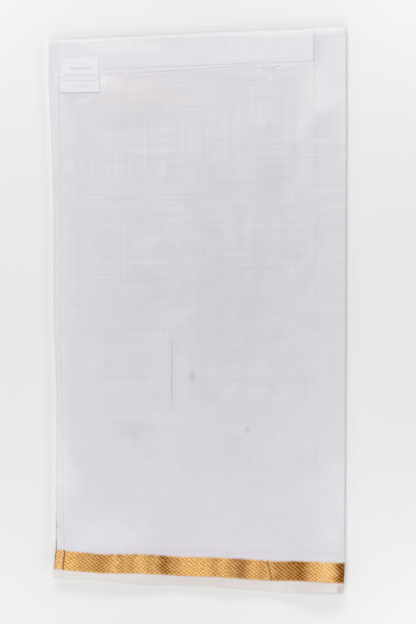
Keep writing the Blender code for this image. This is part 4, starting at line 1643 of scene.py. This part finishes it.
# %% Zigzag and tack at the strip's right end
ZIGZAG_X = 137.0
TACK_X = 124.5
TACK_FOOT_Y = 310.5
TACK_HEAD_Y = 319.0

zigzag_y = np.arange(289.0, 302.5, 1.5)
zigzag_x = ZIGZAG_X + np.zeros_like(zigzag_y)
zigzag_heading = np.where(np.arange(len(zigzag_y)) % 2 == 0, 0.5, -0.5)
zigzag_stitches = stitches("zigzag_stitches", zigzag_x, zigzag_y, zigzag_heading, front_face,
                           4.6, 0.42, white_thread)
tack_y = np.linspace(TACK_FOOT_Y, TACK_HEAD_Y, 4)
tack_x = TACK_X + 0.5 * (tack_y - TACK_FOOT_Y) / (TACK_HEAD_Y - TACK_FOOT_Y)
tack_stitches = stitches("tack_stitches", tack_x, tack_y, 1.45, strip_top, 2.6, 0.5,
                         cream_thread, 0.3)

# %% Stitches round the label
LABEL_STITCH_PITCH = 3.0
LABEL_STITCH_INSET = 1.2
LABEL_FOOT_INSET = 1.4

label_run = np.arange(2.0, 42.0, LABEL_STITCH_PITCH)
same = np.ones_like(label_run)
label_sides_x = np.concatenate([LABEL_LEFT + label_run, LABEL_LEFT + label_run,
                                (LABEL_LEFT + LABEL_STITCH_INSET) * same,
                                (LABEL_RIGHT - LABEL_STITCH_INSET) * same])
label_sides_y = np.concatenate([(LABEL_HEAD - LABEL_STITCH_INSET) * same,
                                (LABEL_FOOT + LABEL_FOOT_INSET) * same,
                                LABEL_FOOT + label_run, LABEL_FOOT + label_run])
label_heading = np.repeat([0.0, 0.0, math.pi / 2.0, math.pi / 2.0], len(label_run))
label_stitches = stitches("label_stitches", label_sides_x, label_sides_y, label_heading,
                          label_top, 1.9, 0.35, white_thread, 0.05)

# %% Loose white ends beside the border
HEAD_FLECKS = 26
FOOT_FLECKS = 10
FLECKS = HEAD_FLECKS + FOOT_FLECKS

fleck = np.random.default_rng(11)
fleck_x = np.concatenate([fleck.uniform(-28.0, 50.0, HEAD_FLECKS),
                          fleck.uniform(14.0, 48.0, FOOT_FLECKS)])
at_head = np.arange(FLECKS) < HEAD_FLECKS
fleck_y = np.where(at_head, along(foot_lines, "border_head", fleck_x),
                   along(foot_lines, "border_foot", fleck_x))
fleck_y = fleck_y + np.where(at_head, fleck.uniform(0.6, 4.5, FLECKS), -0.7)
fleck_stitches = stitches("loose_white_ends", fleck_x, fleck_y,
                          fleck.uniform(-0.6, 1.6, FLECKS), front_face, 1.8, 0.45, white_thread)

# %% Silvery stitches where the hem crosses the gold
SILVER_STITCHES = 9

silver_share = np.linspace(0.0, 1.0, SILVER_STITCHES)
silver_y = np.linspace(-279.0, -297.5, SILVER_STITCHES)
silver_x = along(side_lines, "hem", silver_y) - blend(1.0, 4.8, silver_share)
silver_stitches = stitches("border_hem_stitches", silver_x, silver_y, math.pi / 2.0 + 0.12,
                           hem_top, 2.3, 0.75, white_thread, 0.1)

# %% [markdown]
# ## Table
# It could be a single square, but a few squares more cost nothing and keep the light even
# across it.

# %% Table top
FLOOR_REACH = 3.0
# The grain of the paint is 1.5 mm wide, so 650 of them go into a metre.
GRAINS_PER_METRE = 650.0


def table_top():
    """A plain, matt, painted board: a grid far larger than the view, at the height of zero. Its
    paint has a faint grain, which keeps it from shining."""
    paint = speckled("matt_painted_board", ("#f3f4f3", "#f6f6f5"), GRAINS_PER_METRE, 2.0, 0.03, 0.3,
                     Roughness=0.75, Specular_IOR_Level=0.25)
    edge = np.linspace(-FLOOR_REACH, FLOOR_REACH, 9) / MM
    x, y = np.broadcast_arrays(edge[None, :], edge[::-1, None])
    return cloth_piece("table_top", np.stack([x, y, np.zeros_like(x)], axis=2), [paint])


board = table_top()

# %% [markdown]
# ## Join the pieces to the packet
# Nothing in the packet moves by itself, so every piece rides on its one body. Each thin piece
# stands for a thick CAD solid, which is hidden but stays in the scene, and each piece of cloth
# prints its length and width along the cloth. Each thin piece stands for a thick CAD solid,
# which stays for collisions, and each sheet tells the size it was cut to, so that its length and
# area can be compared with what was made. Parenting the pieces by hand would move them as well,
# but would tell nothing of what each one stands for.

# %% Ride on the packet, and hide the solids that the cloth replaces
replaced = {
    body_cloth: ("body_cloth", "white_cotton"),
    gold_border: ("gold_border", "gold_zari"),
    selvedge: ("selvedge", "white_selvedge"),
    waist_strip: ("waist_strip", "doubled_cotton"),
    label: ("label", "white_satin"),
}
for piece, (node, slot) in replaced.items():
    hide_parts(node)
for pocket in pockets:
    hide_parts("hidden_layers")
stitch_slots = {
    "white_cotton": (hem_stitches, fleck_stitches),
    "gold_zari": (silver_stitches,),
    "doubled_cotton": (groove_stitches, head_stitches, zigzag_stitches, tack_stitches),
    "white_satin": (label_stitches,),
}
stitched = [piece for pieces in stitch_slots.values() for piece in pieces]
for piece in [*replaced, *pockets, nested_plies, *stitched]:
    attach(piece, "root")


# %% [markdown]
# ## Light and camera
# The light is soft. One large softbox hangs over the packet and gives half of the light. Two more
# beyond the head and the foot are lower, so that creases and loose edges cast faint shadows, and
# four small ones lie low beside the corners. A picture of a studio could light the scene as well,
# but lamps need no file, and each can be turned up or down alone. The camera looks straight down
# through a long lens, so that no side of the packet shows.

# %% Softboxes
def softbox(name, place, aim, size, watts):
    """A white rectangular area light at a place in metres, turned to face a point."""
    light = bpy.data.lights.new(name, "AREA")
    light.shape = "RECTANGLE"
    light.size, light.size_y = size
    light.energy = watts
    lamp = bpy.data.objects.new(name, light)
    lamp.location = place
    away = np.subtract(place, aim)
    turn = math.atan2(away[1], away[0]) + math.pi / 2.0
    tilt = math.atan2(math.hypot(away[0], away[1]), away[2])
    lamp.rotation_euler = (tilt, 0.0, turn)
    bpy.context.scene.collection.objects.link(lamp)


softbox("overhead_box", (-0.25, 0.0, 2.3), (0.0, 0.0, 0.0), (2.0, 2.8), 29.6)
softbox("head_box", (-0.25, 2.0, 1.0), (0.0, 0.1, 0.0), (0.9, 0.6), 14.0)
softbox("foot_box", (0.0, -2.0, 1.7), (0.0, -0.1, 0.0), (1.4, 0.9), 14.3)
for name, side, end, watts in (
        ("fill_head_left", -1, 1, 0.64),
        ("fill_head_right", 1, 1, 0.79),
        ("fill_foot_left", -1, -1, 0.65),
        ("fill_foot_right", 1, -1, 0.84)):
    softbox(name, (side * 0.5, end * 0.6, 0.3), (side * 0.2, end * 0.3, 0.0), (0.2, 0.2), watts)

# %% A dim world behind the lamps
world = bpy.data.worlds.new("studio")
world.use_nodes = True
backdrop = world.node_tree.nodes["Background"]
backdrop.inputs["Color"].default_value = linear("#f6f7fa")
backdrop.inputs["Strength"].default_value = 0.08
bpy.context.scene.world = world
bpy.context.scene.view_settings.view_transform = "Standard"

# %% Camera
CAMERA_HEIGHT = 1.700
CAMERA_X = 0.0123
CAMERA_Y = -0.0023

lens = bpy.data.cameras.new("overhead_camera")
lens.lens = 85.0
lens.sensor_width = 36.0
camera = bpy.data.objects.new("overhead_camera", lens)
camera.location = (CAMERA_X, CAMERA_Y, CAMERA_HEIGHT)
bpy.context.scene.collection.objects.link(camera)
bpy.context.scene.camera = camera
print("the camera looks straight down from", CAMERA_HEIGHT, "m")

# %% Bring the scene up to date, and finish
bpy.context.view_layer.update()
